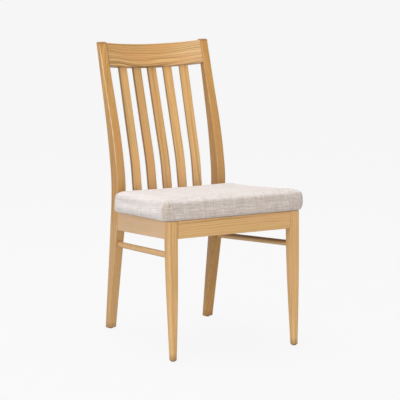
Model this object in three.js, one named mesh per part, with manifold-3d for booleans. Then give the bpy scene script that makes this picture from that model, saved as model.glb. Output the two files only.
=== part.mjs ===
// Dining chair: solid oak frame with a curved, raked slat back, tapered front
// legs, two side stretchers and a fabric-covered seat pad on a plywood board.
//
// Units are millimetres, +Z is up. The origin is on the floor, under the middle
// of the chair. The sitter faces -Y. "left" is the -X side, the left-hand side
// for someone who stands in front of the chair and looks at it.

import * as THREE from 'three';
import { mergeVertices } from 'three/addons/utils/BufferGeometryUtils.js';
import Module from 'manifold-3d';

const wasm = await Module();
wasm.setup();

// ---------------------------------------------------------------- dimensions
const FIT_GAP = 0.3;             // clearance left in every joint
const Y_SHIFT = -2.775;          // centres the chair's box on the origin, front to back

const HEIGHT = 850;              // floor to the tops of the rear posts

// front legs: section at five heights (|x| outer, |x| inner, y front, y rear)
const FRONT_LEG_Z = [2.6, 110, 220, 335, 395];
const FRONT_LEG_OUT = [205.8, 207.9, 209.5, 209.7, 209.7];
const FRONT_LEG_IN = [186.6, 183.0, 180.8, 180.5, 180.5];
const FRONT_LEG_FRONT = [-265.7, -263.7, -261.7, -259.5, -258.6];
const FRONT_LEG_REAR = [-246.7, -240.8, -234.5, -229.6, -229.6];
const FRONT_LEG_R = [8.0, 7.0, 5.5, 4.0, 3.2];      // radius of three corners
const FRONT_LEG_R_OUT = [7.5, 5.5, 4.5, 4.0, 4.0];  // radius of the outer front corner

// rear legs: one sawn curve from the floor to the crest rail
const REAR_LEG_Z = [2.6, 120, 240, 330, 400, 450, 520, 600, 680, 760, 850];
const REAR_LEG_FRONT = [183.2, 158.5, 133.5, 115.7, 110.0, 109.6, 121.0, 140.8, 167.0, 193.9, 222.5];
const REAR_LEG_REAR = [200.9, 186.0, 169.6, 159.6, 151.9, 151.8, 161.2, 176.9, 197.2, 218.2, 242.8];
const REAR_LEG_OUT = [179.9, 181.5, 182.3];         // |x| at floor, mid height, top
const REAR_LEG_IN = [151.5, 153.2, 157.0];
const REAR_LEG_R = 3.8;

// seat frame
const APRON_T = 20;
const APRON_TOP = 388.6;         // top of the front apron
const SEAT_SLOPE = 0.067;        // fall of the seat to the rear
const FRONT_APRON_Y = -257.9;    // its front face
const APRON_BOTTOM = 339.0;
const SIDE_BOTTOM_SLOPE = 0.0844;
const SIDE_APRON_X0 = 207.0;     // outer face at y = -229
const SIDE_APRON_TAPER = 0.0826; // how fast the outer face runs in towards the back
const REAR_APRON_Y0 = 121.5;
const REAR_APRON_Y1 = 149.5;
const REAR_APRON_Z0 = 322;
const REAR_APRON_Z1 = 400;

// side stretchers
const STRETCHER_H = 17.2, STRETCHER_W = 13.5, STRETCHER_R = 5.8;
const STRETCHER_A = [195.8, -231, 291.5];   // |x|, y, z at the front leg
const STRETCHER_B = [167.7, 129, 263.9];    // at the rear leg
const STRETCHER_TENON_D = 10, STRETCHER_TENON_L = 12;

// crest rail: an arc in the plane square to the raked posts
const CREST_K = 12.6e-4;         // sag = K * x^2
const CREST_RAKE = 0.317;        // lean of the posts there, radians
const CREST_H = 70.6;            // along the rake
const CREST_T = 20;
const CREST_END_X = 158;
const CREST_END_Z = 781.6;       // bottom of the front face at the posts
const CREST_END_Y = 201.8;
const CREST_R = 3.2;
const CREST_TENON = { l: 14, t: 8, h: 46 };

// back slats
const SLAT_X = [-100.9, -50.45, 0, 50.45, 100.9];
const SLAT_Z = [388, 430, 500, 570, 640, 710, 782];
const SLAT_Y = [131.6, 138.1, 151.7, 173.4, 196.2, 218.7, 241.4];  // front face, middle slat
const SLAT_K = [1.0e-4, 1.7e-4, 4.2e-4, 6.6e-4, 9.0e-4, 11.4e-4, 13.2e-4];
const SLAT_W = 27.4, SLAT_T = 10.8, SLAT_R = 2.2;
const SLAT_LOW = 388.5;          // bottom end, housed in the rear apron
const SLAT_IN_CREST = 11;        // length housed in the crest rail

// joinery
const DOWEL_D = 8, DOWEL_L = 32;
const BLOCK_SCREW = { d: 4, head: 8, l: 30 };
const SEAT_SCREW = { d: 5, head: 9.5, l: 42 };

// seat pad
const PAD_FRONT = -266.8, PAD_REAR = 105.6;      // y, before tilting
const PAD_HALF_FRONT = 223, PAD_HALF_REAR = 196.5;
const PAD_R = [20, 24];                          // plan radius, front and rear corners
const PAD_T = 57;
const COVER_T = 1.3;
const BOARD_T = 12;

// ---------------------------------------------------------------- materials
const oak = (hex) => new THREE.MeshStandardMaterial({ color: hex, roughness: 0.48, metalness: 0 });
const M = {
  oakLeg: () => oak(0xc9985c),
  oakRail: () => oak(0xcfa36c),
  oakBack: () => oak(0xc2914f),
  beech: () => new THREE.MeshStandardMaterial({ color: 0xd2b088, roughness: 0.65, metalness: 0 }),
  ply: () => new THREE.MeshStandardMaterial({ color: 0xcdb083, roughness: 0.7, metalness: 0 }),
  foam: () => new THREE.MeshStandardMaterial({ color: 0xe6dfc4, roughness: 0.95, metalness: 0 }),
  fabric: () => new THREE.MeshStandardMaterial({ color: 0xd8d0c8, roughness: 0.92, metalness: 0 }),
  cloth: () => new THREE.MeshStandardMaterial({ color: 0x222222, roughness: 0.95, metalness: 0 }),
  steel: () => new THREE.MeshStandardMaterial({ color: 0xc3b58c, roughness: 0.35, metalness: 0.9 }),
  nylon: () => new THREE.MeshStandardMaterial({ color: 0x4a3a2a, roughness: 0.6, metalness: 0 }),
};

// ---------------------------------------------------------------- helpers
// monotone-free cubic through knots (Catmull-Rom on uneven knots)
function interp(zs, vs, z) {
  const n = zs.length;
  if (z <= zs[0]) return vs[0] + (z - zs[0]) * (vs[1] - vs[0]) / (zs[1] - zs[0]);
  if (z >= zs[n - 1]) return vs[n - 1] + (z - zs[n - 1]) * (vs[n - 1] - vs[n - 2]) / (zs[n - 1] - zs[n - 2]);
  let i = 0;
  while (z > zs[i + 1]) i++;
  const h = zs[i + 1] - zs[i], t = (z - zs[i]) / h;
  const d = (vs[i + 1] - vs[i]) / h;
  const slope = (k) => {
    if (k === 0) return (vs[1] - vs[0]) / (zs[1] - zs[0]);
    if (k === n - 1) return (vs[n - 1] - vs[n - 2]) / (zs[n - 1] - zs[n - 2]);
    const a = (vs[k] - vs[k - 1]) / (zs[k] - zs[k - 1]), b = (vs[k + 1] - vs[k]) / (zs[k + 1] - zs[k]);
    const ha = zs[k] - zs[k - 1], hb = zs[k + 1] - zs[k];
    return (a * hb + b * ha) / (ha + hb);
  };
  const m0 = slope(i), m1 = slope(i + 1);
  const t2 = t * t, t3 = t2 * t;
  return vs[i] * (2 * t3 - 3 * t2 + 1) + m0 * h * (t3 - 2 * t2 + t) + vs[i + 1] * (3 * t2 - 2 * t3) + m1 * h * (t3 - t2);
}
const lerp3 = (v, z) => z < HEIGHT / 2
  ? v[0] + (v[1] - v[0]) * z / (HEIGHT / 2)
  : v[1] + (v[2] - v[1]) * (z - HEIGHT / 2) / (HEIGHT / 2);

// rounded rectangle, counter-clockwise, radii in the order
// (x0,y0) (x1,y0) (x1,y1) (x0,y1); q segments to a corner
function roundRect(x0, y0, x1, y1, radii, q) {
  const r = Array.isArray(radii) ? radii : [radii, radii, radii, radii];
  const c = [[x0 + r[0], y0 + r[0], 180], [x1 - r[1], y0 + r[1], 270], [x1 - r[2], y1 - r[2], 0], [x0 + r[3], y1 - r[3], 90]];
  const pts = [];
  c.forEach(([cx, cy, a0], k) => {
    for (let i = 0; i <= q; i++) {
      const a = (a0 + 90 * i / q) * Math.PI / 180;
      pts.push([cx + r[k] * Math.cos(a), cy + r[k] * Math.sin(a)]);
    }
  });
  return pts;
}

// a bar swept through planar sections: an extruded polygon whose rings are moved
// onto section(i), i = 0..steps, each a counter-clockwise list of n [x, y, z]
function sweep(n, steps, section) {
  const shape = new THREE.Shape();
  for (let j = 0; j < n; j++) {
    const a = 2 * Math.PI * j / n;
    if (j === 0) shape.moveTo(Math.cos(a), Math.sin(a)); else shape.lineTo(Math.cos(a), Math.sin(a));
  }
  shape.closePath();
  const geo = new THREE.ExtrudeGeometry(shape, { depth: steps, steps, bevelEnabled: false, curveSegments: 1 });
  const rings = [];
  for (let i = 0; i <= steps; i++) rings.push(section(i));
  const p = geo.attributes.position;
  for (let v = 0; v < p.count; v++) {
    const j = ((Math.round(Math.atan2(p.getY(v), p.getX(v)) * n / (2 * Math.PI)) % n) + n) % n;
    const q = rings[Math.round(p.getZ(v))][j];
    p.setXYZ(v, q[0], q[1], q[2]);
  }
  return geo;
}

// geometry <-> solid
function solid(geo) {
  let g = geo.clone();
  g.deleteAttribute('normal');
  g.deleteAttribute('uv');
  g = mergeVertices(g, 1e-4);
  const mesh = new wasm.Mesh({
    numProp: 3,
    vertProperties: new Float32Array(g.attributes.position.array),
    triVerts: new Uint32Array(g.index.array),
  });
  return new wasm.Manifold(mesh);
}
function geometryOf(man) {
  const m = man.getMesh();
  const pos = new Float32Array(m.numVert * 3);
  for (let i = 0; i < m.numVert; i++) for (let k = 0; k < 3; k++) pos[3 * i + k] = m.vertProperties[i * m.numProp + k];
  const g = new THREE.BufferGeometry();
  g.setAttribute('position', new THREE.BufferAttribute(pos, 3));
  g.setIndex(new THREE.BufferAttribute(new Uint32Array(m.triVerts), 1));
  const flat = g.toNonIndexed();
  flat.computeVertexNormals();
  return flat;
}
function mirrorX(geo) {
  const g = geo.index ? geo.toNonIndexed() : geo.clone();
  const p = g.attributes.position;
  for (let t = 0; t < p.count; t += 3) {
    const v = [0, 1, 2].map((k) => [-p.getX(t + k), p.getY(t + k), p.getZ(t + k)]);
    p.setXYZ(t, ...v[0]); p.setXYZ(t + 1, ...v[2]); p.setXYZ(t + 2, ...v[1]);
  }
  g.computeVertexNormals();
  return g;
}
const cut = (a, ...list) => list.reduce((s, b) => s.subtract(b), a);

const chair = new THREE.Group();
const body = new THREE.Group();
body.position.y = Y_SHIFT;
chair.add(body);
function put(name, geo, material, parent = body) {
  const mesh = new THREE.Mesh(geo, material);
  mesh.name = name;
  parent.add(mesh);
  return mesh;
}
// makes the -X piece from a solid designed on the -X side, and its mirror image
function pair(name, man, material) {
  const g = geometryOf(man);
  put(name + '_left', g, material());
  put(name + '_right', mirrorX(g), material());
}

// round bar from point a along unit direction d
function bar(a, d, length, radius, sides = 12, skewLow = 0) {
  const g = new THREE.CylinderGeometry(radius, radius, length + skewLow, sides);
  g.translate(0, (length + skewLow) / 2 - skewLow, 0);
  const q = new THREE.Quaternion().setFromUnitVectors(new THREE.Vector3(0, 1, 0), new THREE.Vector3(...d).normalize());
  g.applyQuaternion(q);
  g.translate(...a);
  return g;
}
function box(x0, x1, y0, y1, z0, z1) {
  const g = new THREE.BoxGeometry(x1 - x0, y1 - y0, z1 - z0);
  g.translate((x0 + x1) / 2, (y0 + y1) / 2, (z0 + z1) / 2);
  return g;
}
// prism from a plan outline [[x, y]...], bottom and top heights given by functions
function prism(outline, zLow, zHigh) {
  const s = new THREE.Shape(outline.map(([x, y]) => new THREE.Vector2(x, y)));
  const g = new THREE.ExtrudeGeometry(s, { depth: 1, steps: 1, bevelEnabled: false });
  const p = g.attributes.position;
  for (let i = 0; i < p.count; i++) {
    const x = p.getX(i), y = p.getY(i);
    p.setZ(i, p.getZ(i) < 0.5 ? zLow(x, y) : zHigh(x, y));
  }
  return g;
}
const seatZ = (y) => APRON_TOP - SEAT_SLOPE * (y + 258);

// ---------------------------------------------------------------- front leg (left)
function frontLeg(g) {   // g = how much the surface is grown
  const zs = g ? [FRONT_LEG_Z[0], 60, 120, 180, 240, 290, 335, 345, 400] : [FRONT_LEG_Z[0], 5.2, 40, 80, 120, 160, 200, 240, 280, 312, 335, 400];
  return sweep(16, zs.length - 1, (i) => {
    const z = zs[i];
    const ch = !g && i === 0 ? 1.9 : 0;    // chamfer round the foot
    const xo = interp(FRONT_LEG_Z, FRONT_LEG_OUT, z) + g - ch, xi = interp(FRONT_LEG_Z, FRONT_LEG_IN, z) - g + ch;
    const yf = interp(FRONT_LEG_Z, FRONT_LEG_FRONT, z) - g + ch, yr = interp(FRONT_LEG_Z, FRONT_LEG_REAR, z) + g - ch;
    const r = interp(FRONT_LEG_Z, FRONT_LEG_R, z) - ch * 0.6, ro = interp(FRONT_LEG_Z, FRONT_LEG_R_OUT, z) - ch * 0.6;
    return roundRect(-xo, yf, -xi, yr, [ro, r, r, r], 3).map(([x, y]) => [x, y, z]);
  });
}
// ---------------------------------------------------------------- rear leg (left)
function rearLeg(g) {
  const zs = [REAR_LEG_Z[0], 5.4, 45, 90, 130, 170, 210, 245, 275, 305, 335, 365, 395, 420, 445, 470, 500, 530, 565, 600, 640, 680, 720, 760, 805, 843, 847.8, HEIGHT];
  return sweep(12, zs.length - 1, (i) => {
    const z = zs[i], last = zs.length - 1;
    const ch = g ? 0 : i === 0 ? 2.0 : i === last ? 1.8 : 0;
    const xo = lerp3(REAR_LEG_OUT, z) + g - ch, xi = lerp3(REAR_LEG_IN, z) - g + ch;
    const eased = g ? 0 : i === last ? 5.6 : i === last - 1 ? 1.9 : ch;   // the rear edge of the top is eased more
    const yf = interp(REAR_LEG_Z, REAR_LEG_FRONT, z) - g + ch, yr = interp(REAR_LEG_Z, REAR_LEG_REAR, z) + g - eased;
    return roundRect(-xo, yf, -xi, yr, REAR_LEG_R - ch * 0.5, 2).map(([x, y]) => [x, y, z]);
  });
}
const rearFrontY = (z) => interp(REAR_LEG_Z, REAR_LEG_FRONT, z);

// ---------------------------------------------------------------- seat rails
const sideX = (y) => SIDE_APRON_X0 - SIDE_APRON_TAPER * (y + 229);   // outer face
const sideOutline = (y0, y1) => [
  [-sideX(y0), y0], [-sideX(y0) + APRON_T, y0], [-sideX(y1) + APRON_T, y1], [-sideX(y1), y1]];
const frontLegS = solid(frontLeg(0)), frontLegG = solid(frontLeg(FIT_GAP));
const rearLegS = solid(rearLeg(0)), rearLegG = solid(rearLeg(FIT_GAP));

let sideApron = solid(prism(sideOutline(-229.6 + FIT_GAP, 124), (x, y) => APRON_BOTTOM - SIDE_BOTTOM_SLOPE * (y + 258), (x, y) => seatZ(y)));
sideApron = cut(sideApron, rearLegG);

const frontHalf = 180.5 - FIT_GAP;
let frontApron = solid(prism([[-frontHalf, FRONT_APRON_Y], [frontHalf, FRONT_APRON_Y], [frontHalf, FRONT_APRON_Y + APRON_T], [-frontHalf, FRONT_APRON_Y + APRON_T]],
  () => APRON_BOTTOM, (x, y) => seatZ(y)));
let rearApron;
{ // its rounded section is laid along X
  const rearLen = 2 * 160;
  const g = prism(roundRect(REAR_APRON_Y0, REAR_APRON_Z0, REAR_APRON_Y1, REAR_APRON_Z1, 2.2, 1), () => -rearLen / 2, () => rearLen / 2);
  const p = g.attributes.position;
  for (let i = 0; i < p.count; i++) p.setXYZ(i, p.getZ(i), p.getX(i), p.getY(i));
  rearApron = solid(g);
}
const mirrorS = (geo) => solid(mirrorX(geo));
rearApron = cut(rearApron, rearLegG, mirrorS(rearLeg(FIT_GAP)));

// ---------------------------------------------------------------- stretcher (left)
const sa = new THREE.Vector3(-STRETCHER_A[0], STRETCHER_A[1], STRETCHER_A[2]);
const sb = new THREE.Vector3(-STRETCHER_B[0], STRETCHER_B[1], STRETCHER_B[2]);
const sDir = sb.clone().sub(sa).normalize();
function stretcherBody() {
  const a = sa.clone().addScaledVector(sDir, -6), b = sb.clone().addScaledVector(sDir, 8);
  return sweep(16, 6, (i) => {
    const c = a.clone().lerp(b, i / 6);
    const swell = 1 + 0.0 * Math.sin(Math.PI * i / 6);
    return roundRect(-STRETCHER_W / 2 * swell, -STRETCHER_H / 2 * swell, STRETCHER_W / 2 * swell, STRETCHER_H / 2 * swell, STRETCHER_R, 3)
      .map(([u, w]) => [c.x - u, c.y, c.z + w]);
  });
}
let stretcher = cut(solid(stretcherBody()), frontLegG, rearLegG);
const tenonAt = (grow) => [
  solid(bar(sa.clone().addScaledVector(sDir, 6).toArray(), sDir.clone().negate().toArray(), 6 + STRETCHER_TENON_L + grow, STRETCHER_TENON_D / 2 + grow)),
  solid(bar(sb.clone().addScaledVector(sDir, -6).toArray(), sDir.toArray(), 6 + STRETCHER_TENON_L + 2 + grow, STRETCHER_TENON_D / 2 + grow))];
tenonAt(0).forEach((t) => { stretcher = stretcher.add(t); });
const stretcherMortises = tenonAt(FIT_GAP);

// ---------------------------------------------------------------- crest rail
const back = [0, Math.cos(CREST_RAKE), -Math.sin(CREST_RAKE)];   // square to the rail's face
const rise = [0, Math.sin(CREST_RAKE), Math.cos(CREST_RAKE)];    // up the face
const sag = (x) => CREST_K * (CREST_END_X * CREST_END_X - x * x);
function crestPoint(x, u, w) {   // u behind the front face, w up from the bottom edge
  const slope = -2 * CREST_K * x, n = Math.hypot(1, slope);
  const bx = -slope / n, bu = 1 / n;                 // face normal in the rail's own plane
  const s = sag(x) + u * bu;
  return [x + u * bx, CREST_END_Y + s * back[1] + w * rise[1], CREST_END_Z + s * back[2] + w * rise[2]];
}
function crestBody() {
  const steps = 20, X = 171;
  return sweep(16, steps, (i) => {
    const x = -X + 2 * X * i / steps;
    return roundRect(0, 0, CREST_T, CREST_H, CREST_R, 3).map(([u, w]) => crestPoint(x, u, w));
  });
}
const postSlopeAt = 0.326;
let crest = cut(solid(crestBody()), rearLegG, mirrorS(rearLeg(FIT_GAP)));
// the part of the rail beyond each post is sawn off
crest = cut(crest, solid(box(-400, -159.5, -400, 400, 500, 1000)), solid(box(159.5, 400, -400, 400, 500, 1000)));
function crestTenon(side, grow) {
  const { l, t, h } = CREST_TENON;
  const g = new THREE.BoxGeometry(2 * l + 2 * grow, t + 2 * grow, h + 2 * grow);
  g.rotateX(-CREST_RAKE);
  const c = crestPoint(158, CREST_T / 2, CREST_H / 2);
  g.translate(side * 157, CREST_END_Y + (CREST_T / 2 + 0.2) * back[1] + CREST_H / 2 * rise[1], CREST_END_Z + (CREST_T / 2 + 0.2) * back[2] + CREST_H / 2 * rise[2]);
  return solid(g);
}
crest = crest.add(crestTenon(-1, 0)).add(crestTenon(1, 0));

// ---------------------------------------------------------------- slats
function slat(i, grow) {
  const top = [];
  const x = SLAT_X[i];
  // the upper end stops inside the rail, a set distance above its lower edge
  const zTop = CREST_END_Z - sag(x) * Math.sin(CREST_RAKE) - 3.2 + SLAT_IN_CREST;
  const zs = [];
  const n = 13;
  for (let k = 0; k <= n; k++) zs.push(SLAT_LOW + (zTop + (grow ? grow : 0) - SLAT_LOW) * k / n);
  if (grow) zs[0] -= grow;
  return sweep(12, n, (k) => {
    const z = zs[k];
    const yf = interp(SLAT_Z, SLAT_Y, z), kk = interp(SLAT_Z, SLAT_K, z);
    const dz = 4, slope = (interp(SLAT_Z, SLAT_Y, z + dz) - interp(SLAT_Z, SLAT_Y, z - dz)) / (2 * dz);
    const a = Math.atan(-2 * kk * x);
    const tH = SLAT_T * Math.hypot(1, slope);     // thickness in a level cut
    const c = [x, yf - kk * x * x];
    return roundRect(-SLAT_W / 2 - grow, -grow, SLAT_W / 2 + grow, tH + grow, SLAT_R, 2)
      .map(([u, v]) => [c[0] + u * Math.cos(a) - v * Math.sin(a), c[1] + u * Math.sin(a) + v * Math.cos(a), z]);
  });
}
SLAT_X.forEach((x, i) => {
  const s = solid(slat(i, 0)), g = solid(slat(i, FIT_GAP));
  crest = crest.subtract(g);
  rearApron = rearApron.subtract(g);
  put('back_slat_' + (i + 1), geometryOf(s), M.oakBack());
});

// ---------------------------------------------------------------- dowels
const dowels = [];     // {name, a: start, d: direction} on the left side
const sideDir = [SIDE_APRON_TAPER, 1, 0];     // along the left side apron
function dowelSet(name, a, d, zs, cutters) {
  zs.forEach((z, k) => {
    const start = [a[0], a[1], z];
    const g = bar(start, d, DOWEL_L, DOWEL_D / 2, 12);
    const h = solid(bar(start, d, DOWEL_L + FIT_GAP, DOWEL_D / 2 + FIT_GAP, 12, FIT_GAP));
    dowels.push({ name: name + '_' + (k + 1), g });
    cutters.push(h);
  });
}
const inFrontLeg = [], inRearLeg = [], inSideApron = [], inFrontApron = [], inRearApron = [];
let c1 = [];
dowelSet('dowel_front_apron', [-180.5 - 12.5, FRONT_APRON_Y + APRON_T / 2, 0], [1, 0, 0], [352, 376], c1);
inFrontLeg.push(...c1); inFrontApron.push(...c1); c1 = [];
dowelSet('dowel_side_front', [-sideX(-245) + APRON_T / 2, -245, 0], sideDir, [351, 375], c1);
inFrontLeg.push(...c1); inSideApron.push(...c1); c1 = [];
dowelSet('dowel_side_rear', [-sideX(96.5) + APRON_T / 2, 96.5, 0], sideDir, [325, 350], c1);
inRearLeg.push(...c1); inSideApron.push(...c1); c1 = [];
dowelSet('dowel_rear_apron', [-153 - 12, (REAR_APRON_Y0 + REAR_APRON_Y1) / 2, 0], [1, 0, 0], [342, 380], c1);
inRearLeg.push(...c1); inRearApron.push(...c1);
dowels.forEach(({ name, g }) => {
  put(name + '_left', g.toNonIndexed(), M.beech());
  put(name + '_right', mirrorX(g), M.beech());
});

// ---------------------------------------------------------------- corner blocks and their screws
const screwProfile = (s) => [[0, 0], [s.head / 2, 0], [s.head / 2, 0.8], [s.d / 2, 3.4], [s.d / 2, s.l - 5], [0, s.l]].map(([x, y]) => new THREE.Vector2(x, y));
function screwGeo(s, at, dir) {      // the head's top face at `at`, the tip along dir
  const g = new THREE.LatheGeometry(screwProfile(s), 12);
  const q = new THREE.Quaternion().setFromUnitVectors(new THREE.Vector3(0, 1, 0), new THREE.Vector3(...dir).normalize());
  g.applyQuaternion(q);
  g.translate(...at);
  return g;
}
function screwHole(s, at, dir, open) {   // clearance hole, open backwards by `open`
  const d = new THREE.Vector3(...dir).normalize();
  const shank = solid(bar(at, d.toArray(), s.l + FIT_GAP, s.d / 2 + FIT_GAP, 12));
  const head = solid(bar(at, d.toArray(), 3.4 + FIT_GAP, s.head / 2 + FIT_GAP, 12, open));
  return shank.add(head);
}
const blockSpecs = [
  { name: 'corner_block_front', z: [350, 383],
    outline: [[-170, -237.6], [-128, -237.6], [-182.3, -178], [-186.0, -219]],
    screws: [{ at: [-150, -219, 365], dir: [0, -1, 0] }, { at: [-164.5, -200, 365], dir: [-1, 0, 0] }],
    seat: [-167, -217] },
  { name: 'corner_block_rear', z: [329, 361],
    outline: [[-138, 121.2], [-159.4, 98], [-164.8, 36], [-82, 121.2]],
    screws: [{ at: [-105, 100.2, 344], dir: [0, 1, 0] }, { at: [-148, 56, 344], dir: [-1, 0, 0] }],
    seat: [-134, 80] },
];
const seatHoles = [];
blockSpecs.forEach((b) => {
  const area = b.outline.reduce((s, p, i, o) => { const q = o[(i + 1) % o.length]; return s + p[0] * q[1] - q[0] * p[1]; }, 0);
  const outline = area > 0 ? b.outline : b.outline.slice().reverse();
  let s = solid(prism(outline, () => b.z[0], () => b.z[1]));
  b.screws.forEach((w, k) => {
    const hole = screwHole(BLOCK_SCREW, w.at, w.dir, 40);
    s = s.subtract(hole);
    const thread = screwHole(BLOCK_SCREW, w.at, w.dir, 0.1);
    if (b.name === 'corner_block_front') { if (k === 0) inFrontApron.push(thread); else inSideApron.push(thread); }
    else { if (k === 0) inRearApron.push(thread); else inSideApron.push(thread); }
    const g = screwGeo(BLOCK_SCREW, w.at, w.dir);
    put(b.name.replace('corner_block', 'block_screw') + '_' + (k + 1) + '_left', g.toNonIndexed(), M.steel());
    put(b.name.replace('corner_block', 'block_screw') + '_' + (k + 1) + '_right', mirrorX(g), M.steel());
  });
  // the screw that holds the seat runs up through the block, square to the floor
  const zHead = seatZ(b.seat[1]) + 1.6 + 10.2 - SEAT_SCREW.l;
  const at = [b.seat[0], b.seat[1], zHead];
  s = s.subtract(screwHole(SEAT_SCREW, at, [0, 0, 1], 60));
  const g = screwGeo(SEAT_SCREW, at, [0, 0, 1]);
  put(b.name.replace('corner_block', 'seat_screw') + '_left', g.toNonIndexed(), M.steel());
  put(b.name.replace('corner_block', 'seat_screw') + '_right', mirrorX(g), M.steel());
  seatHoles.push(at);
  pair(b.name, s, M.beech);
});

// ---------------------------------------------------------------- glides
function glide(r, x, y) {
  const prof = [[0, 0], [r - 1.2, 0], [r, 1.2], [r, 2.3], [1.3, 2.3], [1.3, 12], [0, 14]].map(([a, b]) => new THREE.Vector2(a, b));
  const g = new THREE.LatheGeometry(prof, 16);
  g.rotateX(Math.PI / 2);
  g.translate(x, y, 0);
  return g;
}
function glideHole(x, y) {
  return solid(bar([x, y, 2], [0, 0, 1], 13, 1.3 + FIT_GAP, 12, 1));
}
const frontFoot = [-(FRONT_LEG_OUT[0] + FRONT_LEG_IN[0]) / 2, (FRONT_LEG_FRONT[0] + FRONT_LEG_REAR[0]) / 2];
const rearFoot = [-(REAR_LEG_OUT[0] + REAR_LEG_IN[0]) / 2, (REAR_LEG_FRONT[0] + REAR_LEG_REAR[0]) / 2];
[['glide_front', 7.4, frontFoot], ['glide_rear', 6.8, rearFoot]].forEach(([name, r, f]) => {
  const g = glide(r, f[0], f[1]);
  put(name + '_left', g.toNonIndexed(), M.nylon());
  put(name + '_right', mirrorX(g), M.nylon());
});

// ---------------------------------------------------------------- finish the frame pieces
// the front leg's head is cut level with the tilted seat rails
const legCap = solid(prism([[-230, -280], [-160, -280], [-160, -210], [-230, -210]], (x, y) => seatZ(y), () => 430));
pair('front_leg', cut(frontLegS, legCap, ...inFrontLeg, stretcherMortises[0], glideHole(...frontFoot)), M.oakLeg);
pair('rear_leg', cut(rearLegS, ...inRearLeg, stretcherMortises[1], glideHole(...rearFoot), crestTenon(-1, FIT_GAP)), M.oakBack);
pair('side_apron', cut(sideApron, ...inSideApron), M.oakRail);
pair('side_stretcher', stretcher, M.oakRail);

// pieces that cross the chair take the holes of both sides
const mirrorMan = (m) => solid(mirrorX(geometryOf(m)));
const both = (list) => list.flatMap((m) => [m, mirrorMan(m)]);
put('front_apron', geometryOf(cut(frontApron, ...both(inFrontApron))), M.oakRail());
put('rear_apron', geometryOf(cut(rearApron, ...both(inRearApron))), M.oakRail());
put('crest_rail', geometryOf(crest), M.oakBack());

// ---------------------------------------------------------------- seat pad
// built level, with its underside at z = 0, then turned to the fall of the seat
const seat = new THREE.Group();
seat.position.set(0, -258, APRON_TOP + FIT_GAP);
seat.rotation.x = -Math.atan(SEAT_SLOPE);
body.add(seat);
const yLocal = (y) => (y + 258) / Math.cos(Math.atan(SEAT_SLOPE));

// plan outline of the pad, drawn in by d on every side, with its own corner radii
function padOutline(d, q = 5) {
  const y0 = yLocal(PAD_FRONT) + d, y1 = yLocal(PAD_REAR) - d;
  const half = (y) => PAD_HALF_FRONT + (PAD_HALF_REAR - PAD_HALF_FRONT) * (y - yLocal(PAD_FRONT)) / (yLocal(PAD_REAR) - yLocal(PAD_FRONT)) - d;
  const rf = Math.max(PAD_R[0] - d * 0.6, 6), rr = Math.max(PAD_R[1] - d * 0.6, 6);
  return roundRect(-1, y0, 1, y1, 0, q).map((_, k) => {
    const corner = Math.floor(k / (q + 1)), i = k % (q + 1);
    const a = ([180, 270, 0, 90][corner] + 90 * i / q) * Math.PI / 180;
    const r = corner < 2 ? rf : rr;
    const cy = corner < 2 ? y0 + r : y1 - r;
    const y = cy + r * Math.sin(a);
    const sx = corner === 0 || corner === 3 ? -1 : 1;
    return [sx * (half(y) - r) + r * Math.cos(a), y];
  });
}
function padBody(shrink) {   // [inset, height] rings from the underside to the crown
  const T = PAD_T;
  const rings = [[11, 0], [6.2, 1.6], [2.6, 5], [0.6, 11], [0, 20], [0.2, 32], [1.6, 42], [5, 49.3], [10.5, 53.6], [19, 55.6], [40, 56.4], [90, 57]];
  const n = rings.length - 1;
  return sweep(24, n, (i) => {
    const [d, z] = rings[i];
    const zz = shrink + z * (T - 2 * shrink) / T;
    return padOutline(d + shrink).map(([x, y]) => [x, y, zz]);
  });
}
const boardOutline = padOutline(14.5, 5);
let board = solid(prism(boardOutline, () => COVER_T + FIT_GAP, () => COVER_T + FIT_GAP + BOARD_T));
const boardG = solid(prism(padOutline(14.5 - FIT_GAP, 5), () => -5, () => COVER_T + 2 * FIT_GAP + BOARD_T));
let cover = solid(padBody(0)).subtract(solid(padBody(COVER_T)));
const opening = solid(prism(padOutline(40, 5), () => -5, () => COVER_T + 2));
cover = cover.subtract(opening);
let foam = solid(padBody(COVER_T + FIT_GAP)).subtract(boardG);
let cloth = solid(prism(padOutline(42.5, 5), () => 0.35, () => 1.15));
const tilt = new THREE.Matrix4().compose(seat.position, new THREE.Quaternion().setFromEuler(seat.rotation), new THREE.Vector3(1, 1, 1)).invert();
const seatCutters = [];
seatHoles.forEach((at) => {
  for (const s of [1, -1]) {
    const g = bar([s * at[0], at[1], at[2]], [0, 0, 1], SEAT_SCREW.l + FIT_GAP, SEAT_SCREW.d / 2 + FIT_GAP, 12);
    g.applyMatrix4(tilt);
    seatCutters.push(solid(g));
  }
});
board = cut(board, ...seatCutters);
cloth = cut(cloth, ...seatCutters);
cover = cut(cover, ...seatCutters);
put('seat_board', geometryOf(board), M.ply(), seat);
put('seat_foam', geometryOf(foam), M.foam(), seat);
put('seat_cover', geometryOf(cover), M.fabric(), seat);
put('seat_base_cloth', geometryOf(cloth), M.cloth(), seat);

export default chair;
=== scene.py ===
import math

import bpy
import numpy as np
from mathutils import Matrix, Vector


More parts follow.
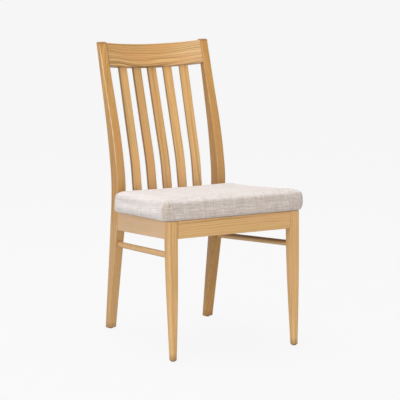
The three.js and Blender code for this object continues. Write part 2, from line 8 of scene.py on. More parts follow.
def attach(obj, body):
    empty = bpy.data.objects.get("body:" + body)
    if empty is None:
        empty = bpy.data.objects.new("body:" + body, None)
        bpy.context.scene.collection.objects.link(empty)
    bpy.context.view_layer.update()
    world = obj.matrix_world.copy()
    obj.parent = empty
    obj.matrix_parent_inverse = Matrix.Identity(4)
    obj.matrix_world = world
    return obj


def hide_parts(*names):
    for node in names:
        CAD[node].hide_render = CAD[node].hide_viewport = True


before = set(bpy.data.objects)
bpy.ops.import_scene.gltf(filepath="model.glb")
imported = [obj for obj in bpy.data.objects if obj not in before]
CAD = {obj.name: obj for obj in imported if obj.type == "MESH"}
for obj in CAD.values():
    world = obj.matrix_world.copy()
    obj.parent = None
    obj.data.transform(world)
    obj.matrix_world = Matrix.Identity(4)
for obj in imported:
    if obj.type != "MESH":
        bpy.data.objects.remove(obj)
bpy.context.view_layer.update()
SCENE = bpy.context.scene

# Dining chair: an oak frame with a curved slat back and a linen seat pad.
# Lengths in this file are millimetres unless a name says otherwise; +Z is up,
# the sitter faces -Y, and "left" is the -X side.
MM = 0.001
Y_SHIFT = -2.775

# ---------------------------------------------------------------- camera, first
cam_data = bpy.data.cameras.new("camera")
cam = bpy.data.objects.new("camera", cam_data)
SCENE.collection.objects.link(cam)
cam.location = (-2.325626, -4.214215, 1.128759)
AZ, EL = math.radians(-29.24), math.radians(8.62)
look = Vector((-math.sin(AZ) * math.cos(EL), math.cos(AZ) * math.cos(EL), -math.sin(EL)))
cam.rotation_mode = "QUATERNION"
cam.rotation_quaternion = look.to_track_quat("-Z", "Y")
cam_data.lens = 151.02
cam_data.sensor_width = 36.0
cam_data.clip_end = 200
SCENE.camera = cam

# ---------------------------------------------------------------- sizes
HEIGHT = 850.0
FRONT_LEG_Z = [2.6, 110, 220, 335, 395]
FRONT_LEG_OUT = [205.8, 207.9, 209.5, 209.7, 209.7]
FRONT_LEG_IN = [186.6, 183.0, 180.8, 180.5, 180.5]
FRONT_LEG_FRONT = [-265.7, -263.7, -261.7, -259.5, -258.6]
FRONT_LEG_REAR = [-246.7, -240.8, -234.5, -229.6, -229.6]
FRONT_LEG_R = [8.0, 7.0, 5.5, 4.0, 3.2]
FRONT_LEG_R_OUT = [7.5, 5.5, 4.5, 4.0, 4.0]
REAR_LEG_Z = [2.6, 120, 240, 330, 400, 450, 520, 600, 680, 760, 850]
REAR_LEG_FRONT = [183.2, 158.5, 133.5, 115.7, 110.0, 109.6, 121.0, 140.8, 167.0, 193.9, 222.5]
REAR_LEG_REAR = [200.9, 186.0, 169.6, 159.6, 151.9, 151.8, 161.2, 176.9, 197.2, 218.2, 242.8]
REAR_LEG_OUT = [179.9, 181.5, 182.3]
REAR_LEG_IN = [151.5, 153.2, 157.0]
REAR_LEG_R = 3.8
APRON_T = 20.0
APRON_TOP = 388.6
SEAT_SLOPE = 0.067
FRONT_APRON_Y = -257.9
APRON_BOTTOM = 339.0
SIDE_BOTTOM_SLOPE = 0.0844
REAR_APRON = (121.5, 149.5, 322.0, 400.0)
STRETCHER = (17.2, 13.5, 6.5)
STRETCHER_A = np.array([195.8, -231, 291.5])
STRETCHER_B = np.array([167.7, 129, 263.9])
CREST_K, CREST_RAKE, CREST_H, CREST_T = 12.6e-4, 0.317, 70.6, 20.0
CREST_END_X, CREST_END_Z, CREST_END_Y, CREST_R = 158.0, 781.6, 201.8, 3.2
SLAT_X = [-100.9, -50.45, 0.0, 50.45, 100.9]
SLAT_Z = [388, 430, 500, 570, 640, 710, 782]
SLAT_Y = [131.6, 138.1, 151.7, 173.4, 196.2, 218.7, 241.4]
SLAT_K = [1.0e-4, 1.7e-4, 4.2e-4, 6.6e-4, 9.0e-4, 11.4e-4, 13.2e-4]
SLAT_W, SLAT_T, SLAT_R = 27.4, 10.8, 2.2
PAD_FRONT, PAD_REAR = -266.8, 105.6
PAD_HALF_FRONT, PAD_HALF_REAR = 223.0, 196.5
GAP = 0.15


# ---------------------------------------------------------------- shape helpers
def interp(zs, vs, z):
    """Cubic through uneven knots."""
    n = len(zs)
    if z <= zs[0]:
        return vs[0] + (z - zs[0]) * (vs[1] - vs[0]) / (zs[1] - zs[0])
    if z >= zs[-1]:
        return vs[-1] + (z - zs[-1]) * (vs[-1] - vs[-2]) / (zs[-1] - zs[-2])
    i = 0
    while z > zs[i + 1]:
        i += 1

    def slope(k):
        if k == 0:
            return (vs[1] - vs[0]) / (zs[1] - zs[0])
        if k == n - 1:
            return (vs[-1] - vs[-2]) / (zs[-1] - zs[-2])
        ha, hb = zs[k] - zs[k - 1], zs[k + 1] - zs[k]
        a, b = (vs[k] - vs[k - 1]) / ha, (vs[k + 1] - vs[k]) / hb
        return (a * hb + b * ha) / (ha + hb)

    h = zs[i + 1] - zs[i]
    t = (z - zs[i]) / h
    t2, t3 = t * t, t * t * t
    return (vs[i] * (2 * t3 - 3 * t2 + 1) + slope(i) * h * (t3 - 2 * t2 + t)
            + vs[i + 1] * (3 * t2 - 2 * t3) + slope(i + 1) * h * (t3 - t2))


def lerp3(v, z):
    h = HEIGHT / 2
    return v[0] + (v[1] - v[0]) * z / h if z < h else v[1] + (v[2] - v[1]) * (z - h) / h


def seat_z(y):
    return APRON_TOP - SEAT_SLOPE * (y + 258)


def side_x(y):
    return 207.0 - 0.0826 * (y + 229)


def rear_front_y(z):
    return interp(REAR_LEG_Z, REAR_LEG_FRONT, z)


def round_rect(x0, y0, x1, y1, radii, q=7, flats=(0, 0, 0, 0)):
    """Counter-clockwise points [x, y, edge]; edge is 1 in the middle of a rounded corner."""
    r = list(radii) if isinstance(radii, (list, tuple)) else [radii] * 4
    centres = [(x0 + r[0], y0 + r[0], 180), (x1 - r[1], y0 + r[1], 270), (x1 - r[2], y1 - r[2], 0), (x0 + r[3], y1 - r[3], 90)]
    pts = []
    for k, (cx, cy, a0) in enumerate(centres):
        for i in range(q + 1):
            a = math.radians(a0 + 90 * i / q)
            pts.append([cx + r[k] * math.cos(a), cy + r[k] * math.sin(a), math.sin(math.pi * i / q)])
        if flats[k]:        # extra points on the side after this corner
            nx, ny, na = centres[(k + 1) % 4]
            rn = r[(k + 1) % 4]
            a, b = math.radians(a0 + 90), math.radians(na)
            p = np.array([cx + r[k] * math.cos(a), cy + r[k] * math.sin(a)])
            e = np.array([nx + rn * math.cos(b), ny + rn * math.sin(b)])
            for i in range(1, flats[k] + 1):
                m = p + (e - p) * i / (flats[k] + 1)
                pts.append([m[0], m[1], 0.0])
    return pts


def weighted_normals(me):
    n_poly, n_loop, n_vert = len(me.polygons), len(me.loops), len(me.vertices)
    nor = np.zeros(n_poly * 3, np.float32)
    area = np.zeros(n_poly, np.float32)
    total = np.zeros(n_poly, np.int32)
    lv = np.zeros(n_loop, np.int32)
    me.polygons.foreach_get("normal", nor)
    me.polygons.foreach_get("area", area)
    me.polygons.foreach_get("loop_total", total)
    me.loops.foreach_get("vertex_index", lv)
    per = np.repeat(nor.reshape(-1, 3) * area[:, None], total, axis=0)
    out = np.zeros((n_vert, 3))
    np.add.at(out, lv, per)
    out /= np.maximum(np.linalg.norm(out, axis=1, keepdims=True), 1e-12)
    me.normals_split_custom_set_from_vertices(out.tolist())


def add_attribute(me, name, kind, values):
    a = me.attributes.get(name) or me.attributes.new(name, kind, "POINT")
    key = "vector" if kind == "FLOAT_VECTOR" else "value"
    a.data.foreach_set(key, np.asarray(values, np.float32).ravel())


def link(name, me):
    o = bpy.data.objects.new(name, me)
    SCENE.collection.objects.link(o)
    return o


def solid_from_rings(name, rings, edges, grain, cap_edges=(0.0, 0.0)):
    """A closed bar from rings of points (mm, before the shift along Y), with its grain coordinates."""
    rings = np.asarray(rings, float)
    k, n, _ = rings.shape
    verts = rings.reshape(-1, 3).copy()
    verts[:, 1] += Y_SHIFT
    faces = []
    for i in range(k - 1):
        for j in range(n):
            a, b = i * n + j, i * n + (j + 1) % n
            faces.append((a, b, b + n, a + n))
    faces.append(tuple(reversed(range(n))))
    faces.append(tuple((k - 1) * n + j for j in range(n)))
    # turn everything outwards
    c = verts.mean(0)
    vol = 0.0
    for f in faces:
        p0 = verts[f[0]] - c
        for m in range(1, len(f) - 1):
            vol += float(np.dot(p0, np.cross(verts[f[m]] - c, verts[f[m + 1]] - c)))
    if vol < 0:
        faces = [tuple(reversed(f)) for f in faces]
    me = bpy.data.meshes.new(name)
    me.from_pydata((verts * MM).tolist(), [], faces)
    me.update()
    me.polygons.foreach_set("use_smooth", [True] * len(me.polygons))
    weighted_normals(me)
    add_attribute(me, "grain", "FLOAT_VECTOR", grain_coordinates(verts, grain))
    add_attribute(me, "edge", "FLOAT", np.asarray(edges, float).reshape(-1))
    return link(name, me)


def grain_coordinates(verts, grain):
    """(along, out from the pith, across) of each point in its board, in mm. grain is (along, out, pith distance, seed)."""
    along, out, pith, seed = grain
    a = np.array(along, float)
    a /= np.linalg.norm(a)
    o = np.array(out, float)
    o -= a * (o @ a)
    o /= np.linalg.norm(o)
    t = np.cross(a, o)
    c = verts.mean(0)
    d = verts - c
    return np.stack([d @ a + 1000.0 * seed, d @ o + pith, d @ t + (seed % 3 - 1) * 4.0], 1)


# ---------------------------------------------------------------- node helpers
class Graph:
    def __init__(self, name):
        self.mat = bpy.data.materials.new(name)
        self.mat.use_nodes = True
        self.tree = self.mat.node_tree
        self.tree.nodes.clear()

    def node(self, kind, **props):
        n = self.tree.nodes.new(kind)
        for k, v in props.items():
            setattr(n, k, v)
        return n

    def put(self, socket, value):
        if value is None:
            return
        if isinstance(value, bpy.types.NodeSocket):
            self.tree.links.new(value, socket)
        else:
            socket.default_value = value

    def math(self, op, a, b=None, c=None, clamp=False):
        n = self.node("ShaderNodeMath", operation=op, use_clamp=clamp)
        for i, v in enumerate((a, b, c)):
            self.put(n.inputs[i], v)
        return n.outputs[0]

    def vec(self, op, a, b=None, scale=None):
        n = self.node("ShaderNodeVectorMath", operation=op)
        self.put(n.inputs[0], a)
        if b is not None:
            self.put(n.inputs[1], b)
        if scale is not None:
            self.put(n.inputs["Scale"], scale)
        return n.outputs["Value"] if op in ("LENGTH", "DOT_PRODUCT", "DISTANCE") else n.outputs["Vector"]

    def noise(self, vector, scale=1.0, detail=2.0, rough=0.5, colour=False, dims="3D", w=None, distortion=0.0):
        n = self.node("ShaderNodeTexNoise", noise_dimensions=dims)
        if dims != "1D":
            self.put(n.inputs["Vector"], vector)
        if w is not None:
            self.put(n.inputs["W"], w)
        n.inputs["Scale"].default_value = scale
        n.inputs["Detail"].default_value = detail
        n.inputs["Roughness"].default_value = rough
        n.inputs["Distortion"].default_value = distortion
        return n.outputs["Color"] if colour else n.outputs[0]

    def white(self, w):
        n = self.node("ShaderNodeTexWhiteNoise", noise_dimensions="1D")
        self.put(n.inputs["W"], w)
        return n.outputs["Value"]

    def voronoi(self, vector, scale=1.0, randomness=1.0, feature="F1"):
        n = self.node("ShaderNodeTexVoronoi", feature=feature)
        self.put(n.inputs["Vector"], vector)
        n.inputs["Scale"].default_value = scale
        n.inputs["Randomness"].default_value = randomness
        return n.outputs["Distance"]

    def remap(self, v, a, b, lo=0.0, hi=1.0, smooth=False):
        n = self.node("ShaderNodeMapRange", interpolation_type="SMOOTHSTEP" if smooth else "LINEAR", clamp=True)
        self.put(n.inputs[0], v)
        for i, x in enumerate((a, b, lo, hi)):
            self.put(n.inputs[i + 1], x)
        return n.outputs[0]

    def ramp(self, v, stops):
        n = self.node("ShaderNodeValToRGB")
        self.put(n.inputs[0], v)
        e = n.color_ramp.elements
        while len(e) < len(stops):
            e.new(0.5)
        for el, (pos, col) in zip(e, stops):
            el.position = pos
            el.color = (*col, 1.0) if not isinstance(col, (int, float)) else (col, col, col, 1.0)
        return n.outputs[0]

    def mix(self, fac, a, b, blend="MIX"):
        n = self.node("ShaderNodeMix", data_type="RGBA", blend_type=blend)
        n.clamp_factor = True
        self.put(n.inputs[0], fac)
        self.put(n.inputs[6], rgba(a))
        self.put(n.inputs[7], rgba(b))
        return n.outputs[2]

    def scale_colour(self, col, factor):
        """A colour times a number."""
        return self.vec("SCALE", col, scale=factor)

    def attribute(self, name, which="Vector"):
        return self.node("ShaderNodeAttribute", attribute_name=name).outputs[which]

    def sep(self, v):
        n = self.node("ShaderNodeSeparateXYZ")
        self.put(n.inputs[0], v)
        return n.outputs

    def comb(self, x, y, z):
        n = self.node("ShaderNodeCombineXYZ")
        for i, v in enumerate((x, y, z)):
            self.put(n.inputs[i], v)
        return n.outputs[0]

    def bump(self, height, strength, distance, normal=None):
        n = self.node("ShaderNodeBump")
        n.inputs["Strength"].default_value = strength
        n.inputs["Distance"].default_value = distance
        self.put(n.inputs["Height"], height)
        if normal is not None:
            self.put(n.inputs["Normal"], normal)
        return n.outputs[0]

    def shader(self, colour, rough, normal=None, **constants):
        p = self.node("ShaderNodeBsdfPrincipled")
        self.put(p.inputs["Base Color"], colour)
        self.put(p.inputs["Roughness"], rough)
        if normal is not None:
            self.put(p.inputs["Normal"], normal)
        for k, v in constants.items():
            p.inputs[k.replace("_", " ")].default_value = v
        out = self.node("ShaderNodeOutputMaterial")
        self.tree.links.new(p.outputs[0], out.inputs[0])
        return self.mat


def rgba(c):
    if isinstance(c, bpy.types.NodeSocket):
        return c
    return (*c, 1.0) if len(c) == 3 else tuple(c)


def srgb(r, g, b):
    """Linear colour of an sRGB triple in 0..255."""
    f = lambda v: v / 255 / 12.92 if v / 255 <= 0.04045 else ((v / 255 + 0.055) / 1.055) ** 2.4
    return (f(r), f(g), f(b))


# ---------------------------------------------------------------- materials
def oak(name, light, dark, blush, ring=3.4, contrast=1.0, warp=5.0, axis=(0, 0, 1), fleck=0.5, wear=1.0, coords=None):
    """Clear-lacquered oak. Everything is read in board coordinates in millimetres: x along the grain, distance from the pith across it."""
    g = Graph(name)
    p = g.attribute("grain") if coords is None else coords(g)
    slow = g.noise(g.vec("MULTIPLY", p, (0.0042, 0.026, 0.026)), detail=1.5, colour=True)
    fast = g.noise(g.vec("MULTIPLY", p, (0.019, 0.11, 0.11)), detail=1.0, colour=True)
    q = g.vec("ADD", p, g.vec("MULTIPLY", g.vec("SUBTRACT", slow, (0.5, 0.5, 0.5)), (0, warp * 2.2, warp * 2.2)))
    q = g.vec("ADD", q, g.vec("MULTIPLY", g.vec("SUBTRACT", fast, (0.5, 0.5, 0.5)), (0, 1.5, 1.5)))
    radius = g.vec("LENGTH", g.vec("MULTIPLY", q, (0, 1, 1)))
    uneven = g.noise(None, dims="1D", w=g.math("MULTIPLY", radius, 0.07), detail=1.0)
    turns = g.math("ADD", g.math("DIVIDE", radius, ring), g.math("MULTIPLY", uneven, 3.0))
    f = g.math("FRACT", turns)
    year = g.white(g.math("FLOOR", turns))
    profile = g.ramp(f, [(0.0, 0.42), (0.07, 0.12), (0.24, 0.22), (0.46, 0.66), (0.8, 0.9), (0.93, 0.94), (1.0, 0.42)])
    early = g.ramp(f, [(0.0, 0.5), (0.06, 1.0), (0.3, 0.9), (0.5, 0.2), (0.9, 0.06), (1.0, 0.5)])
    amount = g.math("MULTIPLY", g.remap(year, 0, 1, 0.45, 1.0), contrast)
    v = g.math("ADD", 0.6, g.math("MULTIPLY", g.math("SUBTRACT", profile, 0.6), amount))
    # groups of years run darker and lighter together
    group = g.noise(None, dims="1D", w=g.math("MULTIPLY", radius, 0.16), detail=2.0)
    v = g.math("ADD", v, g.math("MULTIPLY", g.math("SUBTRACT", group, 0.5), 0.95 * contrast))
    streak = g.noise(g.vec("MULTIPLY", p, (0.006, 0.34, 0.34)), detail=3.0, rough=0.6)
    v = g.math("ADD", v, g.math("MULTIPLY", g.math("SUBTRACT", streak, 0.5), 0.7), clamp=True)
    col = g.mix(v, dark, light)
    broad = g.noise(g.vec("MULTIPLY", p, (0.0065, 0.03, 0.03)), detail=2.0)
    col = g.mix(g.remap(broad, 0.42, 0.66, 0.0, 0.65, smooth=True), col, blush)
    fibre = g.noise(g.vec("MULTIPLY", p, (0.05, 1.5, 1.5)), detail=3.0, rough=0.65)
    col = g.scale_colour(col, g.remap(fibre, 0.25, 0.75, 0.93, 1.07))
    # open pores, dense in the early wood, as short dark dashes
    cell = g.voronoi(g.vec("MULTIPLY", p, (0.15, 2.3, 2.3)))
    small = g.voronoi(g.vec("MULTIPLY", p, (0.3, 4.2, 4.2)))
    pore = g.math("MULTIPLY", g.remap(cell, 0.34, 0.14, 0, 1, smooth=True), early)
    pore = g.math("MAXIMUM", pore, g.math("MULTIPLY", g.remap(small, 0.26, 0.1, 0, 0.7, smooth=True), g.remap(early, 0, 1, 0.2, 0.8)))
    col = g.mix(g.math("MULTIPLY", pore, 0.55), col, g.mix(0.5, dark, (0.10, 0.045, 0.015)))
    # ray flecks: pale silky dashes across the rings
    ray = g.noise(g.vec("MULTIPLY", p, (0.085, 0.22, 1.5)), detail=1.0)
    ray = g.math("MULTIPLY", g.remap(ray, 0.63, 0.72, 0, 1, smooth=True), fleck)
    col = g.mix(g.math("MULTIPLY", ray, 0.3), col, g.mix(0.5, light, (0.86, 0.70, 0.46)))
    # end grain drinks the finish and is darker
    geo = g.node("ShaderNodeNewGeometry")
    end = g.math("ABSOLUTE", g.vec("DOT_PRODUCT", geo.outputs["Normal"], tuple(Vector(axis).normalized())))
    end = g.remap(end, 0.72, 0.97, 0, 1, smooth=True)
    col = g.mix(g.math("MULTIPLY", end, 0.8), col, g.mix(0.6, dark, (0.13, 0.06, 0.022)))
    # handled edges: the finish is thinner and a little polished
    wear_and_highlight = g.noise(g.vec("MULTIPLY", p, (0.03, 0.2, 0.2)), detail=3.0, rough=0.7)
    edge = g.math("MULTIPLY", g.attribute("edge", "Fac"), g.remap(wear_and_highlight, 0.38, 0.68, 0.15, 1.0)) if coords is None else 0.0
    if coords is None:
        col = g.mix(g.math("MULTIPLY", edge, 0.22 * wear), col, g.mix(0.5, light, (0.88, 0.70, 0.46)))
        # painted shade from the 'shade' attribute (undersides, inner faces, slat sides, the upper inner side of the
        # stretchers), with darker end grain on the post tops and a darker band at the feet
        uneven_shade = g.remap(wear_and_highlight, 0.3, 0.7, 0.85, 1.0)
        shade_and_end_grain = g.math("MULTIPLY", g.attribute("shade", "Fac"), uneven_shade)
        col = g.mix(shade_and_end_grain, col, g.vec("MULTIPLY", col, (0.42, 0.34, 0.28)))
        # painted highlight: the 'rub' attribute pales the colour, for a glint along a back post's front corner, a sheen
        # at one end of the crest rail and painted light on the lower left rear leg
        col = g.mix(g.math("MULTIPLY", g.attribute("wear_and_highlight", "Fac"), 0.75), col, (0.80, 0.62, 0.43))
    rough = g.math("ADD", g.remap(fibre, 0.2, 0.8, 0.36, 0.46), g.math("MULTIPLY", pore, 0.22))
    rough = g.math("ADD", rough, g.math("MULTIPLY", end, 0.14))
    rough = g.math("SUBTRACT", rough, g.math("MULTIPLY", g.math("MAXIMUM", ray, edge), 0.07))
    height = g.math("SUBTRACT", g.math("MULTIPLY", fibre, 0.35), g.math("MULTIPLY", pore, 1.0))
    height = g.math("ADD", height, g.math("MULTIPLY", v, 0.25))
    normal = g.bump(height, 0.32, 0.00022)
    return g.shader(col, rough, normal, Specular_IOR_Level=0.36, Coat_Weight=0.12, Coat_Roughness=0.22)


def linen(name):
    """Plain-weave linen, from the weave map in millimetres (warp across x, weft across y)."""
    g = Graph(name)
    uv = g.attribute("weave")
    xyz = g.sep(uv)
    pitch = 1.35
    wob = g.noise(g.vec("MULTIPLY", uv, (0.05, 0.05, 0.05)), detail=2.0, colour=True)
    off = g.sep(g.vec("MULTIPLY", g.vec("SUBTRACT", wob, (0.5, 0.5, 0.5)), (2.2, 2.2, 0)))
    a = g.math("DIVIDE", g.math("ADD", xyz[0], off[0]), pitch)
    b = g.math("DIVIDE", g.math("ADD", xyz[1], off[1]), pitch)
    fa, fb = g.math("FRACT", a), g.math("FRACT", b)
    ia, ib = g.math("FLOOR", a), g.math("FLOOR", b)
    # slubs: each yarn swells and fades along its own length
    def yarn(index, along, seed):
        fat = g.noise(g.comb(g.math("MULTIPLY", index, 7.31), g.math("MULTIPLY", along, 0.045), seed), detail=2.0, rough=0.6)
        tone = g.math("ADD", g.math("MULTIPLY", g.white(g.math("ADD", index, seed * 17.0)), 0.45),
                      g.noise(g.comb(g.math("MULTIPLY", index, 5.17), g.math("MULTIPLY", along, 0.03), seed + 5.0), detail=1.0))
        tone = g.remap(tone, 0.35, 1.1)
        return fat, tone
    fat_w, tone_w = yarn(ia, xyz[1], 3.0)
    fat_f, tone_f = yarn(ib, xyz[0], 11.0)
    # height of warp and weft where they cross
    bulge_w = g.math("POWER", g.math("SINE", g.math("MULTIPLY", fa, math.pi)), g.remap(fat_w, 0.3, 0.7, 0.95, 0.45))
    bulge_f = g.math("POWER", g.math("SINE", g.math("MULTIPLY", fb, math.pi)), g.remap(fat_f, 0.3, 0.7, 0.95, 0.45))
    over_w = g.math("COSINE", g.math("MULTIPLY", g.math("ADD", g.math("SUBTRACT", b, 0.5), ia), math.pi))
    over_f = g.math("COSINE", g.math("MULTIPLY", g.math("ADD", g.math("SUBTRACT", a, 0.5), ib), math.pi))
    h_w = g.math("MULTIPLY", bulge_w, g.math("ADD", 0.55, g.math("MULTIPLY", over_w, 0.45)))
    h_f = g.math("MULTIPLY", bulge_f, g.math("SUBTRACT", 0.55, g.math("MULTIPLY", over_f, 0.45)))
    warp_up = g.math("GREATER_THAN", h_w, h_f)
    height = g.math("MAXIMUM", h_w, h_f)
    # colours: undyed flax with grey and brown yarns among it
    pale, mid, grey, brown = srgb(216, 210, 208), srgb(204, 196, 191), srgb(178, 170, 166), srgb(178, 164, 153)
    def tint(tone, fat):
        c = g.ramp(tone, [(0.0, grey), (0.16, brown), (0.3, mid), (0.62, pale), (1.0, srgb(224, 218, 216))])
        return g.mix(g.remap(fat, 0.5, 0.72, 0, 0.75), c, grey)
    c_w, c_f = tint(tone_w, fat_w), tint(tone_f, fat_f)
    col = g.mix(warp_up, c_f, c_w)
    # bundles of slubby yarns, a few millimetres wide, that read as streaks from further off
    s_w = g.noise(g.comb(g.math("MULTIPLY", xyz[0], 0.30), g.math("MULTIPLY", xyz[1], 0.05), 4.0), detail=2.5, rough=0.62)
    s_f = g.noise(g.comb(g.math("MULTIPLY", xyz[0], 0.035), g.math("MULTIPLY", xyz[1], 0.31), 9.0), detail=2.5, rough=0.62)
    front = g.attribute("panel", "Fac")
    streak = g.math("ADD", g.math("MULTIPLY", g.remap(s_w, 0.34, 0.66, -0.5, 0.5), 0.7), g.remap(s_f, 0.34, 0.66, -0.5, 0.5))
    col = g.scale_colour(col, g.math("ADD", 1.0, g.math("MULTIPLY", streak, g.remap(front, 0, 0.55, 0.10, 0.27))))
    warmth = g.noise(g.vec("MULTIPLY", uv, (0.03, 0.03, 0.03)), detail=2.0)
    col = g.mix(g.remap(warmth, 0.35, 0.65, 0.0, 0.25), col, g.mix(0.5, mid, srgb(206, 189, 183)))
    # painted shade: the front panel, and the top towards the front, are darkened and made a little browner
    col = g.mix(front, col, g.vec("MULTIPLY", col, (0.74, 0.66, 0.57)))
    # shade between yarns
    col = g.scale_colour(col, g.remap(height, 0.1, 0.75, 0.62, 1.06))
    hair = g.noise(g.vec("MULTIPLY", uv, (2.6, 2.6, 2.6)), detail=3.0, rough=0.7)
    col = g.scale_colour(col, g.remap(hair, 0.3, 0.7, 0.95, 1.05))
    h = g.math("ADD", height, g.math("MULTIPLY", hair, 0.25))
    h = g.math("ADD", h, g.math("MULTIPLY", g.math("ADD", fat_w, fat_f), 0.5))
    normal = g.bump(h, 0.55, 0.0005)
    rough = g.remap(height, 0.1, 0.8, 0.96, 0.84)
    return g.shader(col, rough, normal, Specular_IOR_Level=0.22, Sheen_Weight=0.22, Sheen_Roughness=0.45)


def object_mm(loc=(0, 0, 0), rot=(0, 0, 0)):
    def make(g):
        tc = g.node("ShaderNodeTexCoord").outputs["Object"]
        m = g.node("ShaderNodeMapping", vector_type="POINT")
        g.put(m.inputs["Vector"], tc)
        m.inputs["Location"].default_value = loc
        m.inputs["Rotation"].default_value = rot
        m.inputs["Scale"].default_value = (1000, 1000, 1000)
        return m.outputs[0]
    return make


def beech(name, axis="X"):
    g = Graph(name)
    rot = {"X": (0, 0, 0), "Y": (0, 0, -math.pi / 2), "Z": (0, math.pi / 2, 0)}[axis]
    p = object_mm(rot=rot)(g)
    slow = g.noise(g.vec("MULTIPLY", p, (0.01, 0.06, 0.06)), detail=2.0)
    band = g.noise(g.vec("MULTIPLY", p, (0.01, 0.45, 0.45)), detail=3.0, rough=0.6)
    fibre = g.noise(g.vec("MULTIPLY", p, (0.07, 2.4, 2.4)), detail=3.0)
    fleck = g.voronoi(g.vec("MULTIPLY", p, (0.42, 1.4, 1.4)))
    col = g.mix(g.remap(band, 0.3, 0.7), srgb(196, 152, 110), srgb(226, 190, 148))
    col = g.mix(g.remap(slow, 0.4, 0.7, 0, 0.5), col, srgb(214, 170, 132))
    dash = g.remap(fleck, 0.30, 0.12, 0, 0.55, smooth=True)
    col = g.mix(dash, col, srgb(160, 112, 76))
    col = g.scale_colour(col, g.remap(fibre, 0.3, 0.7, 0.93, 1.06))
    h = g.math("SUBTRACT", g.math("MULTIPLY", fibre, 0.6), dash)
    return g.shader(col, g.remap(fibre, 0.3, 0.7, 0.58, 0.72), g.bump(h, 0.35, 0.0002), Specular_IOR_Level=0.35)


def plywood(name):
    g = Graph(name)
    p = object_mm(rot=(math.atan(SEAT_SLOPE), 0, 0))(g)
    xyz = g.sep(p)
    geo = g.node("ShaderNodeNewGeometry")
    flat = g.math("ABSOLUTE", g.sep(geo.outputs["Normal"])[2])
    flat = g.remap(flat, 0.5, 0.9, 0, 1)
    face = g.noise(g.vec("MULTIPLY", p, (0.012, 0.35, 0.35)), detail=4.0, rough=0.6)
    face_c = g.mix(g.remap(face, 0.3, 0.7), srgb(190, 150, 104), srgb(222, 188, 142))
    ply = g.math("FRACT", g.math("DIVIDE", xyz[2], 3.4))
    layer = g.ramp(ply, [(0.0, 0.25), (0.08, 0.9), (0.46, 1.0), (0.52, 0.3), (0.6, 0.55), (0.96, 0.6), (1.0, 0.25)])
    grain = g.noise(g.vec("MULTIPLY", p, (0.2, 0.2, 2.5)), detail=3.0)
    edge_c = g.scale_colour(g.mix(layer, srgb(136, 98, 62), srgb(214, 178, 132)), g.remap(grain, 0.3, 0.7, 0.88, 1.08))
    col = g.mix(flat, edge_c, face_c)
    h = g.math("ADD", g.math("MULTIPLY", face, 0.5), g.math("MULTIPLY", layer, 0.3))
    return g.shader(col, g.remap(face, 0.3, 0.7, 0.62, 0.8), g.bump(h, 0.4, 0.0003), Specular_IOR_Level=0.3)


def base_cloth(name):
    """Spun-bonded dust cloth: black, with a grid of small pressed dots and loose fibres."""
    g = Graph(name)
    p = object_mm()(g)
    fibre = g.noise(g.vec("MULTIPLY", p, (0.5, 0.9, 0.5)), detail=5.0, rough=0.75, distortion=1.2)
    dots = g.voronoi(g.vec("MULTIPLY", p, (0.62, 0.62, 0.0)), randomness=0.0)
    press = g.remap(dots, 0.18, 0.30, 1, 0, smooth=True)
    col = g.mix(g.remap(fibre, 0.3, 0.7), srgb(26, 25, 25), srgb(58, 56, 54))
    col = g.mix(g.math("MULTIPLY", press, 0.6), col, srgb(18, 18, 18))
    h = g.math("SUBTRACT", g.math("MULTIPLY", fibre, 0.8), g.math("MULTIPLY", press, 0.9))
    return g.shader(col, g.remap(fibre, 0.3, 0.7, 0.78, 0.95), g.bump(h, 0.6, 0.0004), Specular_IOR_Level=0.25, Sheen_Weight=0.15)


def zinc(name):
    g = Graph(name)
    p = object_mm()(g)
    cloud = g.noise(g.vec("MULTIPLY", p, (0.5, 0.5, 0.5)), detail=3.0)
    turn = g.noise(g.vec("MULTIPLY", p, (1.5, 1.5, 6.0)), detail=2.0)
    col = g.mix(g.remap(cloud, 0.35, 0.65), srgb(196, 182, 140), srgb(208, 204, 190))
    col = g.mix(g.remap(cloud, 0.55, 0.75, 0, 0.5), col, srgb(178, 150, 98))
    return g.shader(col, g.remap(turn, 0.3, 0.7, 0.24, 0.42), g.bump(turn, 0.25, 0.0001), Metallic=1.0)


def nylon(name):
    g = Graph(name)
    p = object_mm()(g)
    skin = g.noise(g.vec("MULTIPLY", p, (1.6, 1.6, 1.6)), detail=4.0, rough=0.6)
    scuff = g.noise(g.vec("MULTIPLY", p, (0.5, 2.6, 1.0)), detail=4.0, rough=0.75)
    low = g.remap(g.sep(p)[2], 0.0, 1.6, 1, 0)
    col = g.mix(g.remap(skin, 0.35, 0.65), srgb(84, 66, 48), srgb(98, 78, 58))
    wear_and_highlight = g.math("MULTIPLY", low, g.remap(scuff, 0.5, 0.68))
    col = g.mix(g.math("MULTIPLY", wear_and_highlight, 0.6), col, srgb(150, 132, 110))
    rough = g.math("ADD", g.remap(skin, 0.3, 0.7, 0.42, 0.52), g.math("MULTIPLY", wear_and_highlight, 0.25))
    return g.shader(col, rough, g.bump(g.math("ADD", skin, wear_and_highlight), 0.3, 0.0001), Specular_IOR_Level=0.45)


# oak tones, per piece
GOLD = dict(light=srgb(213, 172, 115), dark=srgb(170, 126, 70), blush=srgb(207, 160, 108))
HONEY = dict(light=srgb(216, 172, 112), dark=srgb(160, 116, 58), blush=srgb(206, 152, 92))
AMBER = dict(light=srgb(196, 151, 87), dark=srgb(144, 99, 43), blush=srgb(185, 134, 70))
TAN = dict(light=srgb(210, 175, 132), dark=srgb(180, 141, 97), blush=srgb(208, 167, 131))


def shift(tone, k, warm=0.0):
    f = lambda c: (min(1, c[0] * k * (1 + warm)), c[1] * k, c[2] * k * (1 - warm))
    return {n: f(c) for n, c in tone.items()}


